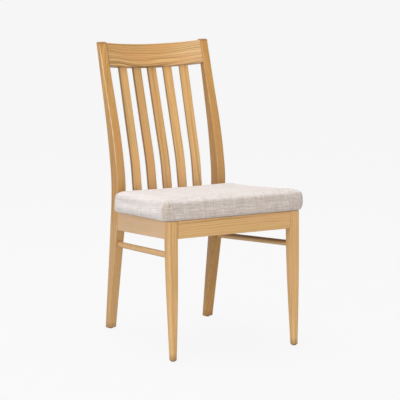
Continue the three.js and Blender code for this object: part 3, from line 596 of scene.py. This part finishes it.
# ---------------------------------------------------------------- legs
def shade(o, rule, name="shade"):
    """Store a per-vertex amount for the finish colour, from rule(points in mm, normals): mostly painted shade and
    painted highlight, with some darker end grain and a darker band at the feet.
    """
    me = o.data
    co = coords(me) / MM
    co[:, 1] -= Y_SHIFT
    no = np.zeros(len(me.vertices) * 3, np.float32)
    me.vertices.foreach_get("normal", no)
    add_attribute(me, name, "FLOAT", np.clip(rule(co, no.reshape(-1, 3).astype(float)), 0, 1))


def foot_darkening(co, no):
    """Darker towards the foot over the lowest 18 mm, and most at the bottom edge."""
    z = co[:, 2]
    return 0.62 * smooth_step((18 - z) / 9.0) + 0.5 * smooth_step((4.4 - z) / 1.6)


def front_leg(side, seed, mat):
    s = -1 if side == "left" else 1
    foot = 1.5
    zs = [2.6 + foot * (1 - math.cos(t)) for t in np.linspace(0, math.pi / 2, 5)] + [7.5] + list(np.arange(12, 384, 12.0)) + [398.0]
    rings, edges = [], []
    for i, z in enumerate(zs):
        c = foot * (1 - math.sin(math.pi / 2 * i / 4)) if i < 4 else 0.0
        xo, xi = interp(FRONT_LEG_Z, FRONT_LEG_OUT, z) - c, interp(FRONT_LEG_Z, FRONT_LEG_IN, z) + c
        yf, yr = interp(FRONT_LEG_Z, FRONT_LEG_FRONT, z) + c, interp(FRONT_LEG_Z, FRONT_LEG_REAR, z) - c
        r, ro = interp(FRONT_LEG_Z, FRONT_LEG_R, z) - 0.6 * c, interp(FRONT_LEG_Z, FRONT_LEG_R_OUT, z) - 0.6 * c
        pts = round_rect(-xo, yf, -xi, yr, [ro, r, r, r], 8, (1, 1, 1, 1))
        last = i == len(zs) - 1
        rings.append([[-s * x, y, min(z, seat_z(y)) if last else z] for x, y, _ in pts])
        edges.append([max(e * 0.8, 1.0 if 0 < i < 4 else 0.0) for _, _, e in pts])
    # a small round on the head
    top = np.array(rings[-1])
    c = top.mean(0)
    for k, (inset, drop) in enumerate([(0.15, 0.35), (0.5, 0.0)]):
        d = top - c
        ring = c + d * (1 - inset / 14.0)
        ring[:, 2] = top[:, 2] - drop
        if k == 0:
            rings[-1] = [[x, y, z - 0.9] for x, y, z in top]
        rings.append(ring.tolist())
        edges.append(edges[-1])
    o = solid_from_rings("oak_front_leg_" + side, rings, edges, ((0.012 * s, 0.02, 1), (s * 0.9, -0.42, 0), 90 + 13 * seed, seed))
    o.data.materials.append(mat)
    shade(o, foot_darkening)
    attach(o, "root")
    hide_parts("front_leg_" + side)
    return o


def rear_leg(side, seed, mat):
    s = -1 if side == "left" else 1
    foot, crown = 1.5, 2.6
    zs = [2.6 + foot * (1 - math.cos(t)) for t in np.linspace(0, math.pi / 2, 5)]
    zs += list(np.arange(12, 842, 8.0)) + [843.5, 845.0, 846.3] + [HEIGHT - crown + crown * math.sin(t) for t in np.linspace(0, math.pi / 2, 6)]
    rings, edges = [], []
    n = len(zs)
    for i, z in enumerate(zs):
        c = foot * (1 - math.sin(math.pi / 2 * i / 4)) if i < 4 else 0.0
        if i > n - 6:
            c = crown * (1 - math.cos(math.pi / 2 * (i - (n - 6)) / 5))
        xo, xi = lerp3(REAR_LEG_OUT, z) - c, lerp3(REAR_LEG_IN, z) + c
        eased = c
        if z > HEIGHT - 7.0:
            t = (z - (HEIGHT - 7.0)) / 7.0
            eased = max(c, 6.0 * (1 - math.sqrt(max(0.0, 1 - t * t))))
        yf, yr = interp(REAR_LEG_Z, REAR_LEG_FRONT, z) + c, interp(REAR_LEG_Z, REAR_LEG_REAR, z) - eased
        pts = round_rect(-xo, yf, -xi, yr, REAR_LEG_R - 0.4 * c, 7, (1, 2, 1, 2))
        rings.append([[-s * x, y, z] for x, y, _ in pts])
        edges.append([max(e, 1.0 if (0 < i < 4 or i > n - 6) else 0.0) for _, _, e in pts])
    o = solid_from_rings("oak_rear_leg_" + side, rings, edges, ((0, 0.04, 1), (s * 0.86, 0.5, 0), 110 + 9 * seed, seed))
    o.data.materials.append(mat)
    # painted shade: the inner faces of the back posts above the seat and the right rear leg below the seat are
    # darkened; the posts also grow darker downwards towards the seat, the end grain of the post tops is darker, and the
    # feet are darker
    shade(o, lambda co, no: np.maximum(foot_darkening(co, no), np.maximum(
        np.maximum(0.40 * smooth_step((-s * no[:, 0] - 0.5) / 0.3) * smooth_step((co[:, 2] - 395) / 30.0),
                   np.maximum(0.14 * smooth_step((720 - co[:, 2]) / 240.0) * (co[:, 2] > 380), 0.6 * smooth_step((co[:, 2] - 842.5) / 4.0))),
        (0.25 if side == "right" else 0.0) * smooth_step((345 - co[:, 2]) / 20.0))))
    # painted highlight: a pale broken line along the outer front corner of the back posts, where light glints on the
    # rounding; the lower left rear leg is painted lighter too, as painted light
    def painted_arris_highlight(co, no):
        corner = smooth_step((s * no[:, 0] - 0.42) / 0.2) * smooth_step((-no[:, 1] - 0.42) / 0.2)
        dash = 0.62 + 0.38 * hash_noise(co[:, 2] / 13.0, 5 + seed)
        line = corner * dash * smooth_step((co[:, 2] - 470) / 60.0) * smooth_step((842 - co[:, 2]) / 20.0)
        return np.maximum(line, (0.16 if side == "left" else 0.0) * smooth_step((350 - co[:, 2]) / 40.0))
    shade(o, painted_arris_highlight, "wear_and_highlight")
    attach(o, "root")
    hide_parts("rear_leg_" + side)
    return o


# ---------------------------------------------------------------- rails
def finish_wood(o, mat, nodes):
    o.data.materials.append(mat)
    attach(o, "root")
    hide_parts(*nodes)
    return o


def front_apron(seed, mat):
    half = 180.5 - GAP
    xs = [-half, -half + 0.5] + list(np.linspace(-half + 6, half - 6, 31)) + [half - 0.5, half]
    rings, edges = [], []
    for i, x in enumerate(xs):
        c = 0.5 if i in (0, len(xs) - 1) else 0.0
        pts = round_rect(FRONT_APRON_Y + c, APRON_BOTTOM + c, FRONT_APRON_Y + APRON_T - c, 388.6 - c, [2.4 - c, 2.0 - c, 1.2 - c, 1.6 - c], 6)
        ring = []
        for y, z, _ in pts:
            ring.append([x, y, z - SEAT_SLOPE * max(0.0, y + 258) * (1 if z > 370 else 0)])
        rings.append(ring)
        edges.append([e for _, _, e in pts])
    o = solid_from_rings("oak_front_apron", rings, edges, ((1, 0.004, 0.006), (0, -0.35, 0.94), 120, seed))
    return finish_wood(o, mat, ["front_apron"])


def side_apron(side, seed, mat):
    s = -1 if side == "left" else 1
    y0, y1 = -229.6 + GAP, 112.0
    ys = [y0, y0 + 0.5] + list(np.linspace(y0 + 6, y1 - 6, 31)) + [y1 - 0.5, y1]
    rings, edges = [], []
    for i, y in enumerate(ys):
        last = i >= len(ys) - 2
        c = 0.5 if i in (0, len(ys) - 1) else 0.0
        zb, zt = APRON_BOTTOM - SIDE_BOTTOM_SLOPE * (y + 258), seat_z(y)
        pts = round_rect(0 + c, zb + c, APRON_T - c, zt - c, [2.0 - c, 1.4 - c, 1.2 - c, 1.6 - c], 6, (0, 3, 0, 3))
        ring = []
        for u, z, _ in pts:
            yy = y
            if last:
                yy = rear_front_y(z) - GAP - (0.5 if i == len(ys) - 2 else 0.0)
            ring.append([s * (side_x(yy) - u), yy, z])
        rings.append(ring)
        edges.append([e for _, _, e in pts])
    o = solid_from_rings("oak_side_apron_" + side, rings, edges, ((-0.0826 * s, 1, -0.075), (s * 0.45, 0, 0.9), 95 + 8 * seed, seed))
    return finish_wood(o, mat, ["side_apron_" + side])


def rear_apron(seed, mat):
    y0, y1, z0, z1 = REAR_APRON
    base = round_rect(y0, z0, y1, z1, 2.2, 6, (0, 3, 0, 3))
    half = lambda z: lerp3(REAR_LEG_IN, z) - GAP
    rings, edges = [], []
    for t in np.linspace(-1, 1, 41):
        rings.append([[t * half(z), y, z] for y, z, _ in base])
        edges.append([e for _, _, e in base])
    o = solid_from_rings("oak_rear_apron", rings, edges, ((1, 0, 0.004), (0, 0.3, 0.95), 140, seed))
    return finish_wood(o, mat, ["rear_apron"])


def stretcher(side, seed, mat):
    s = -1 if side == "left" else 1
    h, w, r = STRETCHER
    a, b = STRETCHER_A.copy(), STRETCHER_B.copy()
    d = (b - a) / np.linalg.norm(b - a)
    a, b = a - d * 1.0, b + d * 6.0
    n = 40
    rings, edges = [], []
    for i in range(n + 1):
        c = a + (b - a) * i / n
        pts = round_rect(-w / 2, -h / 2, w / 2, h / 2, r, 8)
        ring = []
        for u, v, _ in pts:
            x, y, z = c[0] + u, c[1], c[2] + v
            if i == 0:
                y = interp(FRONT_LEG_Z, FRONT_LEG_REAR, z) + GAP
            if i == n:
                y = rear_front_y(z) - GAP
            ring.append([s * x, y, z + (y - c[1]) * d[2] / d[1]])
        rings.append(ring)
        edges.append([0.6 * e for _, _, e in pts])
    o = solid_from_rings("oak_stretcher_" + side, rings, edges, ((s * d[0], d[1], d[2]), (s * 0.8, 0, 0.6), 80 + 11 * seed, seed))

    # painted shade: the upper half of the inner side, shadowed by the seat, is darkened, and the underside a little
    def stretcher_shade(co, no):
        mid = a[2] + (co[:, 1] - a[1]) * d[2] / d[1]
        up = smooth_step((co[:, 2] - mid - 0.4) / 2.6)
        inner = smooth_step((-s * no[:, 0] + 0.1) / 0.3)
        return np.maximum(0.98 * up * inner, 0.35 * smooth_step((-no[:, 2] - 0.35) / 0.4))
    shade(o, stretcher_shade)
    return finish_wood(o, mat, ["side_stretcher_" + side])


# ---------------------------------------------------------------- crest rail and slats
BACK = np.array([0, math.cos(CREST_RAKE), -math.sin(CREST_RAKE)])
RISE = np.array([0, math.sin(CREST_RAKE), math.cos(CREST_RAKE)])


def crest_sag(x):
    return CREST_K * (CREST_END_X ** 2 - x * x)


def crest_point(x, u, w):
    slope = -2 * CREST_K * x
    n = math.hypot(1, slope)
    s = crest_sag(x) + u / n
    return np.array([x - u * slope / n, CREST_END_Y, CREST_END_Z]) + s * BACK + w * RISE


def crest_end(u, w):
    """Where this line of the rail meets the inner face of the post."""
    x = CREST_END_X
    for _ in range(20):
        p = crest_point(x, u, w)
        x += lerp3(REAR_LEG_IN, p[2]) - GAP - p[0]
    return x


def crest(seed, mat):
    base = round_rect(0, 0, CREST_T, CREST_H, CREST_R, 8, (0, 5, 0, 5))
    ends = [crest_end(u, w) for u, w, _ in base]
    rings, edges = [], []
    for t in [-1, -0.9965] + list(np.linspace(-0.98, 0.98, 71)) + [0.9965, 1]:
        rings.append([crest_point(t * xe, u, w) for (u, w, _), xe in zip(base, ends)])
        edges.append([e for _, _, e in base])
    o = solid_from_rings("oak_crest_rail", rings, edges, ((1, 0.0, 0.012), tuple(0.95 * RISE + 0.30 * BACK), 118, seed))
    # painted shade on the underside and along the top of the crest rail
    shade(o, lambda co, no: np.maximum(0.5 * smooth_step((-no[:, 2] - 0.2) / 0.4), 0.55 * smooth_step((no[:, 2] - 0.45) / 0.3)))
    shade(o, lambda co, no: 0.18 * smooth_step((co[:, 0] - 20) / 120.0), "wear_and_highlight")     # painted sheen: paler towards one end
    return finish_wood(o, mat, ["crest_rail"])


def slat(i, seed, mat):
    x0 = SLAT_X[i]
    z_top = CREST_END_Z - crest_sag(x0) * math.sin(CREST_RAKE) + 4.0
    z_low = REAR_APRON[3] - 4.0
    n = 64
    rings, edges = [], []
    for k in range(n + 1):
        z = z_low + (z_top - z_low) * k / n
        yf, kk = interp(SLAT_Z, SLAT_Y, z), interp(SLAT_Z, SLAT_K, z)
        slope = (interp(SLAT_Z, SLAT_Y, z + 4) - interp(SLAT_Z, SLAT_Y, z - 4)) / 8
        a = math.atan(-2 * kk * x0)
        th = SLAT_T * math.hypot(1, slope)
        pts = round_rect(-SLAT_W / 2, 0, SLAT_W / 2, th, SLAT_R, 6, (1, 0, 1, 0))
        ca, sa = math.cos(a), math.sin(a)
        rings.append([[x0 + u * ca - v * sa, yf - kk * x0 * x0 + u * sa + v * ca, z] for u, v, _ in pts])
        edges.append([e for _, _, e in pts])
    o = solid_from_rings("oak_slat_%d" % (i + 1), rings, edges, ((0, 0.27, 1), (0.92 if seed % 2 else -0.92, 0.4, 0), 84 + 9 * seed, seed))
    # painted shade on the side faces of the slats
    shade(o, lambda co, no: 0.85 * smooth_step((np.abs(no[:, 0]) - 0.35) / 0.35))
    return finish_wood(o, mat, ["back_slat_%d" % (i + 1)])


# ---------------------------------------------------------------- seat pad
TILT = math.atan(SEAT_SLOPE)
PAD_ORIGIN = np.array([0.0, -258.0 + Y_SHIFT, APRON_TOP + 0.3])
LOCAL_Y = lambda y: (y + 258) / math.cos(TILT)
PY0, PY1 = LOCAL_Y(PAD_FRONT), LOCAL_Y(PAD_REAR)


def pad_to_world(p):
    p = np.asarray(p, float)
    c, s = math.cos(TILT), math.sin(TILT)
    return np.stack([p[:, 0], c * p[:, 1] + s * p[:, 2], -s * p[:, 1] + c * p[:, 2]], 1) + PAD_ORIGIN


def world_to_pad(p):
    p = np.asarray(p, float) - PAD_ORIGIN
    c, s = math.cos(TILT), math.sin(TILT)
    return np.stack([p[:, 0], c * p[:, 1] - s * p[:, 2], s * p[:, 1] + c * p[:, 2]], 1)


def half_at(y):
    return PAD_HALF_FRONT + (PAD_HALF_REAR - PAD_HALF_FRONT) * (y - PY0) / (PY1 - PY0)


def pad_outline(d, rf, rr, q=8, flat=24):
    """Plan outline drawn in by d, with points along its straight sides."""
    y0, y1 = PY0 + d, PY1 - d
    pts = []
    corners = [(-1, 180, rf, y0), (1, 270, rf, y0), (1, 0, rr, y1), (-1, 90, rr, y1)]
    for k, (sx, a0, r, ye) in enumerate(corners):
        cy = ye + r if k < 2 else ye - r
        for i in range(q + 1):
            a = math.radians(a0 + 90 * i / q)
            y = cy + r * math.sin(a)
            pts.append([sx * (half_at(y) - d - r) + r * math.cos(a), y])
        sx2, b0, r2, ye2 = corners[(k + 1) % 4]
        cy2 = ye2 + r2 if (k + 1) % 4 < 2 else ye2 - r2
        b = math.radians(b0)
        y2 = cy2 + r2 * math.sin(b)
        e = np.array([sx2 * (half_at(y2) - d - r2) + r2 * math.cos(b), y2])
        p = np.array(pts[-1])
        for i in range(1, flat):
            pts.append((p + (e - p) * i / flat).tolist())
    return pts


# inset, height, front corner radius, rear corner radius
PAD_RINGS = [(6.0, 0.2, 22, 9), (3.4, 0.9, 22, 9), (1.8, 2.6, 21, 9), (0.9, 5.8, 19, 9), (0.2, 10.5, 16, 10), (-0.3, 17, 13, 11),
             (-0.5, 24, 12, 12), (-0.5, 31, 11, 12), (-0.4, 38, 11, 12), (0.0, 43.5, 10, 11), (0.9, 48.4, 9, 11), (2.9, 52.6, 9, 10),
             (6.0, 55.5, 8, 10), (10.5, 57.1, 7, 9), (17, 57.6, 7, 8), (30, 57.5, 7, 7), (60, 57.2, 6, 6), (110, 57.2, 5, 5), (150, 57.3, 5, 5)]


def pad_start():
    rings = []
    for d, z, rf, rr in PAD_RINGS:
        rings.append([[x, y, z] for x, y in pad_outline(d, rf, rr)])
    n = len(rings[0])
    pts = np.array(rings, float).reshape(-1, 3)
    faces = []
    for i in range(len(rings) - 1):
        for j in range(n):
            a, b = i * n + j, i * n + (j + 1) % n
            faces.append((a, b, b + n, a + n))
    faces.append(tuple(reversed(range(n))))
    faces.append(tuple((len(rings) - 1) * n + j for j in range(n)))
    me = bpy.data.meshes.new("seat_pad_start")
    me.from_pydata((pad_to_world(pts) * MM).tolist(), [], faces)
    me.update()
    o = link("seat_cushion", me)
    m = o.modifiers.new("remesh", "REMESH")
    m.mode, m.voxel_size, m.adaptivity = "VOXEL", 0.0045, 0.0
    apply_modifiers(o)
    return o


def apply_modifiers(o):
    dg = bpy.context.evaluated_depsgraph_get()
    dg.update()
    me = bpy.data.meshes.new_from_object(o.evaluated_get(dg), preserve_all_data_layers=True, depsgraph=dg)
    old = o.data
    o.modifiers.clear()
    o.data = me
    bpy.data.meshes.remove(old)


def coords(me):
    co = np.zeros(len(me.vertices) * 3, np.float32)
    me.vertices.foreach_get("co", co)
    return co.reshape(-1, 3).astype(float)


def set_coords(me, co):
    me.vertices.foreach_set("co", np.asarray(co, np.float32).ravel())
    me.update()


def inflate(o, pressure, frames, cap_mm):
    start = coords(o.data)
    local = world_to_pad(start / MM)
    low = np.clip((5.0 - local[:, 2]) / 4.0, 0, 1)
    vg = o.vertex_groups.new(name="pin")
    for w in np.unique(np.round(low, 2)):
        if w > 0:
            vg.add(np.nonzero(np.round(low, 2) == w)[0].tolist(), float(w), "REPLACE")
    m = o.modifiers.new("cloth", "CLOTH")
    st = m.settings
    st.quality = 5
    st.mass = 0.25
    st.tension_stiffness = st.compression_stiffness = 60
    st.shear_stiffness = 20
    st.bending_stiffness = 1.2
    st.use_pressure = True
    st.uniform_pressure_force = pressure
    st.vertex_group_mass = "pin"
    st.effector_weights.gravity = 0
    m.collision_settings.use_collision = False
    m.collision_settings.use_self_collision = False
    m.point_cache.frame_start, m.point_cache.frame_end = 1, frames
    for f in range(1, frames + 1):
        SCENE.frame_set(f)
    dg = bpy.context.evaluated_depsgraph_get()
    done = coords(o.evaluated_get(dg).data)
    o.modifiers.clear()
    SCENE.frame_set(1)
    move = done - start
    length = np.linalg.norm(move, axis=1, keepdims=True)
    cap = cap_mm * MM
    print("cloth: moved at most %.1f mm, mean %.1f mm" % (length.max() / MM, length.mean() / MM))
    move *= np.minimum(1.0, cap / np.maximum(length, 1e-9))
    return start, move


def smooth_step(t):
    t = np.clip(t, 0, 1)
    return t * t * (3 - 2 * t)


def hash_noise(x, seed):
    """Smooth one-dimensional noise in -1..1."""
    i = np.floor(x).astype(np.int64)
    f = x - i
    rnd = lambda k: ((np.sin((k + seed * 57.31) * 12.9898) * 43758.5453) % 1.0) * 2 - 1
    t = f * f * (3 - 2 * f)
    return rnd(i) * (1 - t) + rnd(i + 1) * t


def weave_map(local):
    """Fabric coordinates in mm of each point of the pad: the top's own plane, carried down the front, rear and sides along the cloth."""
    x, y, z = local.T
    top, r = 55.5, 15.0
    zc = top - r

    def wrap(over):      # over: distance beyond the line where the edge starts to round
        phi = np.arctan2(np.maximum(over, 0), np.maximum(z - zc, 1e-6))
        arc = np.where(z >= zc, r * phi, r * math.pi / 2 + (zc - z))
        return np.where(over > 0, arc, 0.0)

    hx = half_at(y)
    over_x = np.abs(x) - (hx - r)
    u_side = np.sign(x) * (np.minimum(np.abs(x), hx - r) + wrap(over_x))
    over_f = (PY0 + r) - y
    over_r = y - (PY1 - r)
    v_front = np.maximum(y, PY0 + r) - wrap(over_f)
    v_rear = np.minimum(y, PY1 - r) + wrap(over_r)
    rc = 20.0
    out = np.zeros((len(x), 3))
    out[:, 0], out[:, 1] = u_side, y
    front = y < PY0 + rc
    rear = y > PY1 - rc
    for mask, v in ((front, v_front), (rear, v_rear)):
        cy = np.where(mask, np.where(front, PY0 + rc, PY1 - rc), 0)
        cx = half_at(cy) - rc
        ax, ay = np.abs(x) - cx, np.abs(y - cy)
        theta = np.arctan2(np.maximum(ax, 0), np.maximum(ay, 1e-6))
        rho = np.hypot(np.maximum(ax, 0), ay)
        s = np.where(ax > 0, cx + rho * theta, np.abs(x))
        out[mask, 0] = (np.sign(x) * s)[mask]
        out[mask, 1] = v[mask]
    return out


FOLD_Y = PY0 + 24.5        # where the front panel is folded round onto the sides


def fold_line(x, z):
    return FOLD_Y + (z - 27) * 0.11 + 1.1 * hash_noise(z / 9.0 + 40 * (x > 0), 3)


def corner_folds(local):
    """The front panel wraps the corners and is folded under along an upright line, so it stands proud of the side panel there."""
    out = local.copy()
    x, y, z = local.T
    side = smooth_step((np.abs(x) - (half_at(y) - 16)) / 8.0)
    tall = smooth_step((z - 1.5) / 5.0) * smooth_step((52.5 - z) / 6.0)
    d = fold_line(x, z) - y                      # positive on the front panel
    proud = np.where(d > 0, 0.7 * np.exp(-d / 7.0), 0.0)
    proud = np.where((d <= 0) & (d > -2.2), 0.7 * (1 + d / 2.2), proud)
    groove = -0.5 * np.exp(-((d + 3.2) / 1.8) ** 2)
    out[:, 0] += np.sign(x) * (proud + groove) * side * tall
    return out


def cushion(mat):
    o = pad_start()
    start, move = inflate(o, 4.0, 20, 3.5)
    co = start + move
    # held clear of the back posts and of the rails below
    local = world_to_pad(co / MM)
    flare = smooth_step((local[:, 1] - (PY1 - 70)) / 60.0) * smooth_step((30 - local[:, 2]) / 24.0)     # the cover is drawn out low over the rear corners
    local[:, 0] += np.sign(local[:, 0]) * 1.8 * flare * smooth_step((np.abs(local[:, 0]) - 150) / 30.0)
    lim = PY1 - 2.0
    local[:, 1] = np.where(local[:, 1] > lim, lim + 3.2 * np.tanh((local[:, 1] - lim) / 3.2), local[:, 1])
    local[:, 2] = np.maximum(local[:, 2], 0.15)
    set_coords(o.data, pad_to_world(local) * MM)
    o.vertex_groups.clear()
    m = o.modifiers.new("smooth", "SMOOTH")
    m.factor, m.iterations = 0.5, 2
    m = o.modifiers.new("fine", "SUBSURF")
    m.levels = m.render_levels = 1
    apply_modifiers(o)
    co = coords(o.data)
    local = corner_folds(world_to_pad(co / MM))
    # underneath, the cover stops short of the middle, where the dust cloth lies on the board
    x, y, z = local.T
    inset = np.minimum(half_at(y) - np.abs(x), np.minimum(y - PY0, PY1 - y))
    local[:, 2] = np.where(z < 8, np.maximum(z, 3.6 * smooth_step((inset - 37.5) / 3.5)), z)
    set_coords(o.data, pad_to_world(local) * MM)
    print("cushion local box", local.min(0).round(2), local.max(0).round(2), len(local))
    x, y, z = local.T
    # painted shade: how much the front panel is darkened, more at the left corner than at the right, and the top a
    # little towards the front
    corner = smooth_step((np.abs(x) - (half_at(y) - 34)) / 22.0)
    front_shade_depth = 0.55 + (np.where(x < 0, 0.74, 0.60) - 0.55) * corner
    panel = front_shade_depth * smooth_step((fold_line(x, z) + 1.4 - y) / 2.8) * smooth_step((57 + 2.5 * corner - z) / 14.0)
    panel = np.maximum(panel, 0.20 * smooth_step((FOLD_Y + 95 - y) / 110.0) * (z > 40))
    add_attribute(o.data, "panel", "FLOAT", panel)
    add_attribute(o.data, "weave", "FLOAT_VECTOR", weave_map(local))
    o.data.polygons.foreach_set("use_smooth", [True] * len(o.data.polygons))
    o.data.materials.clear()
    o.data.materials.append(mat)
    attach(o, "root")
    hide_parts("seat_cover", "seat_foam")
    return o


# ---------------------------------------------------------------- build
front_leg("left", 1, oak("oak_front_leg_left", **shift(GOLD, 1.0), ring=4.6, contrast=0.9))
front_leg("right", 2, oak("oak_front_leg_right", **shift(GOLD, 1.02), ring=4.8, contrast=0.9))
rear_leg("left", 3, oak("oak_rear_leg_left", **shift(AMBER, 1.0), ring=5.0, contrast=0.75))
rear_leg("right", 4, oak("oak_rear_leg_right", **shift(AMBER, 1.0), ring=5.0, contrast=0.75))
front_apron(5, oak("oak_front_apron", **shift(GOLD, 1.0), ring=6.0, contrast=0.9, axis=(1, 0, 0)))
side_apron("left", 6, oak("oak_side_apron_left", **shift(TAN, 1.0), ring=3.4, contrast=0.55, axis=(0, 1, 0)))
side_apron("right", 7, oak("oak_side_apron_right", **shift(TAN, 1.0), ring=3.4, contrast=0.6, axis=(0, 1, 0)))
rear_apron(8, oak("oak_rear_apron", **shift(HONEY, 1.0), ring=3.8, contrast=0.8, axis=(1, 0, 0)))
stretcher("left", 9, oak("oak_stretcher_left", **shift(GOLD, 0.98), ring=2.8, contrast=0.7, axis=(0, 1, 0)))
stretcher("right", 10, oak("oak_stretcher_right", **shift(GOLD, 0.98), ring=2.8, contrast=0.7, axis=(0, 1, 0)))
crest(11, oak("oak_crest_rail", **shift(HONEY, 0.83), ring=7.0, contrast=1.9, warp=9.0, axis=(1, 0, 0)))
for k, (seed, bright, warm) in enumerate([(12, 1.08, -0.05), (13, 0.85, 0.01), (14, 0.87, 0.02), (15, 1.01, -0.02), (16, 1.0, -0.03)]):
    slat(k, seed, oak("oak_slat_%d" % (k + 1), **shift(HONEY, bright, warm), ring=5.2 + 0.5 * (k % 3), contrast=0.8, axis=(0, 0.27, 1)))
cushion(linen("linen"))

# carried-over CAD pieces, seen from below
FOUND = {
    "block_x": beech("beech_block_a", "X"), "block_y": beech("beech_block_b", "Y"), "dowel": beech("beech_dowel", "X"),
    "ply": plywood("birch_plywood"), "cloth": base_cloth("dust_cloth"), "zinc": zinc("passivated_zinc"), "nylon": nylon("nylon_glide"),
}
for name, o in CAD.items():
    if o.hide_render:
        continue
    kind = ("zinc" if "screw" in name else "dowel" if name.startswith("dowel") else "nylon" if name.startswith("glide")
            else "ply" if name == "seat_board" else "cloth" if name == "seat_base_cloth"
            else "block_x" if name.startswith("corner_block_front") else "block_y" if name.startswith("corner_block") else "zinc")
    o.data.materials.clear()
    o.data.materials.append(FOUND[kind])

# ---------------------------------------------------------------- stage
floor_me = bpy.data.meshes.new("floor")
S = 60.0
floor_me.from_pydata([(-S, -S, 0), (S, -S, 0), (S, S, 0), (-S, S, 0)], [], [(0, 1, 2, 3)])
floor = link("floor", floor_me)
fg = Graph("floor_paint")
pale = fg.node("ShaderNodeBsdfDiffuse")
pale.inputs["Color"].default_value = (0.03, 0.03, 0.03, 1)
glow = fg.node("ShaderNodeEmission")
glow.inputs["Color"].default_value = (1, 1, 1, 1)
glow.inputs["Strength"].default_value = 0.905
both = fg.node("ShaderNodeAddShader")
fg.tree.links.new(pale.outputs[0], both.inputs[0])
fg.tree.links.new(glow.outputs[0], both.inputs[1])
out = fg.node("ShaderNodeOutputMaterial")
clear = fg.node("ShaderNodeBsdfTransparent")
under = fg.node("ShaderNodeMixShader")
fg.tree.links.new(fg.node("ShaderNodeNewGeometry").outputs["Backfacing"], under.inputs[0])
fg.tree.links.new(both.outputs[0], under.inputs[1])
fg.tree.links.new(clear.outputs[0], under.inputs[2])
fg.tree.links.new(under.outputs[0], out.inputs[0])
floor_me.materials.append(fg.mat)
floor.visible_diffuse = False
floor.visible_glossy = False

# soft room light: dimmer overhead, brighter from below the horizon
UPPER, LOWER = 0.54, 0.78
world = bpy.data.worlds.new("studio")
world.use_nodes = True
wt = world.node_tree
sky = wt.nodes["Background"]
sky.inputs["Color"].default_value = (1.0, 1.0, 1.0, 1)
tc = wt.nodes.new("ShaderNodeTexCoord")
sp = wt.nodes.new("ShaderNodeSeparateXYZ")
mr = wt.nodes.new("ShaderNodeMapRange")
mr.interpolation_type = "SMOOTHSTEP"
for i, x in enumerate((-0.25, 0.45, LOWER, UPPER)):
    mr.inputs[i + 1].default_value = x
wt.links.new(tc.outputs["Generated"], sp.inputs[0])
wt.links.new(sp.outputs[2], mr.inputs[0])
wt.links.new(mr.outputs[0], sky.inputs["Strength"])
SCENE.world = world


def softbox(name, at, target, size, watts, colour=(1, 1, 1)):
    d = bpy.data.lights.new(name, "AREA")
    d.shape = "RECTANGLE"
    d.size, d.size_y = size
    d.energy = watts
    d.color = colour
    o = bpy.data.objects.new(name, d)
    SCENE.collection.objects.link(o)
    o.location = at
    o.rotation_mode = "QUATERNION"
    o.rotation_quaternion = (Vector(target) - Vector(at)).to_track_quat("-Z", "Y")
    return o


softbox("key", (-3.1, -1.5, 2.1), (0, 0, 0.45), (1.6, 1.6), 50)
softbox("low", (-2.0, -2.8, 0.5), (0, 0, 0.25), (1.2, 0.8), 26)
softbox("fill", (1.3, -3.4, 1.1), (0, 0, 0.4), (1.4, 1.4), 16)
softbox("top", (-0.3, 0.5, 3.3), (0, 0, 0.4), (2.2, 2.2), 84)

SCENE.view_settings.view_transform = "Standard"
SCENE.view_settings.look = "None"
SCENE.view_settings.exposure = 0
SCENE.view_settings.gamma = 1
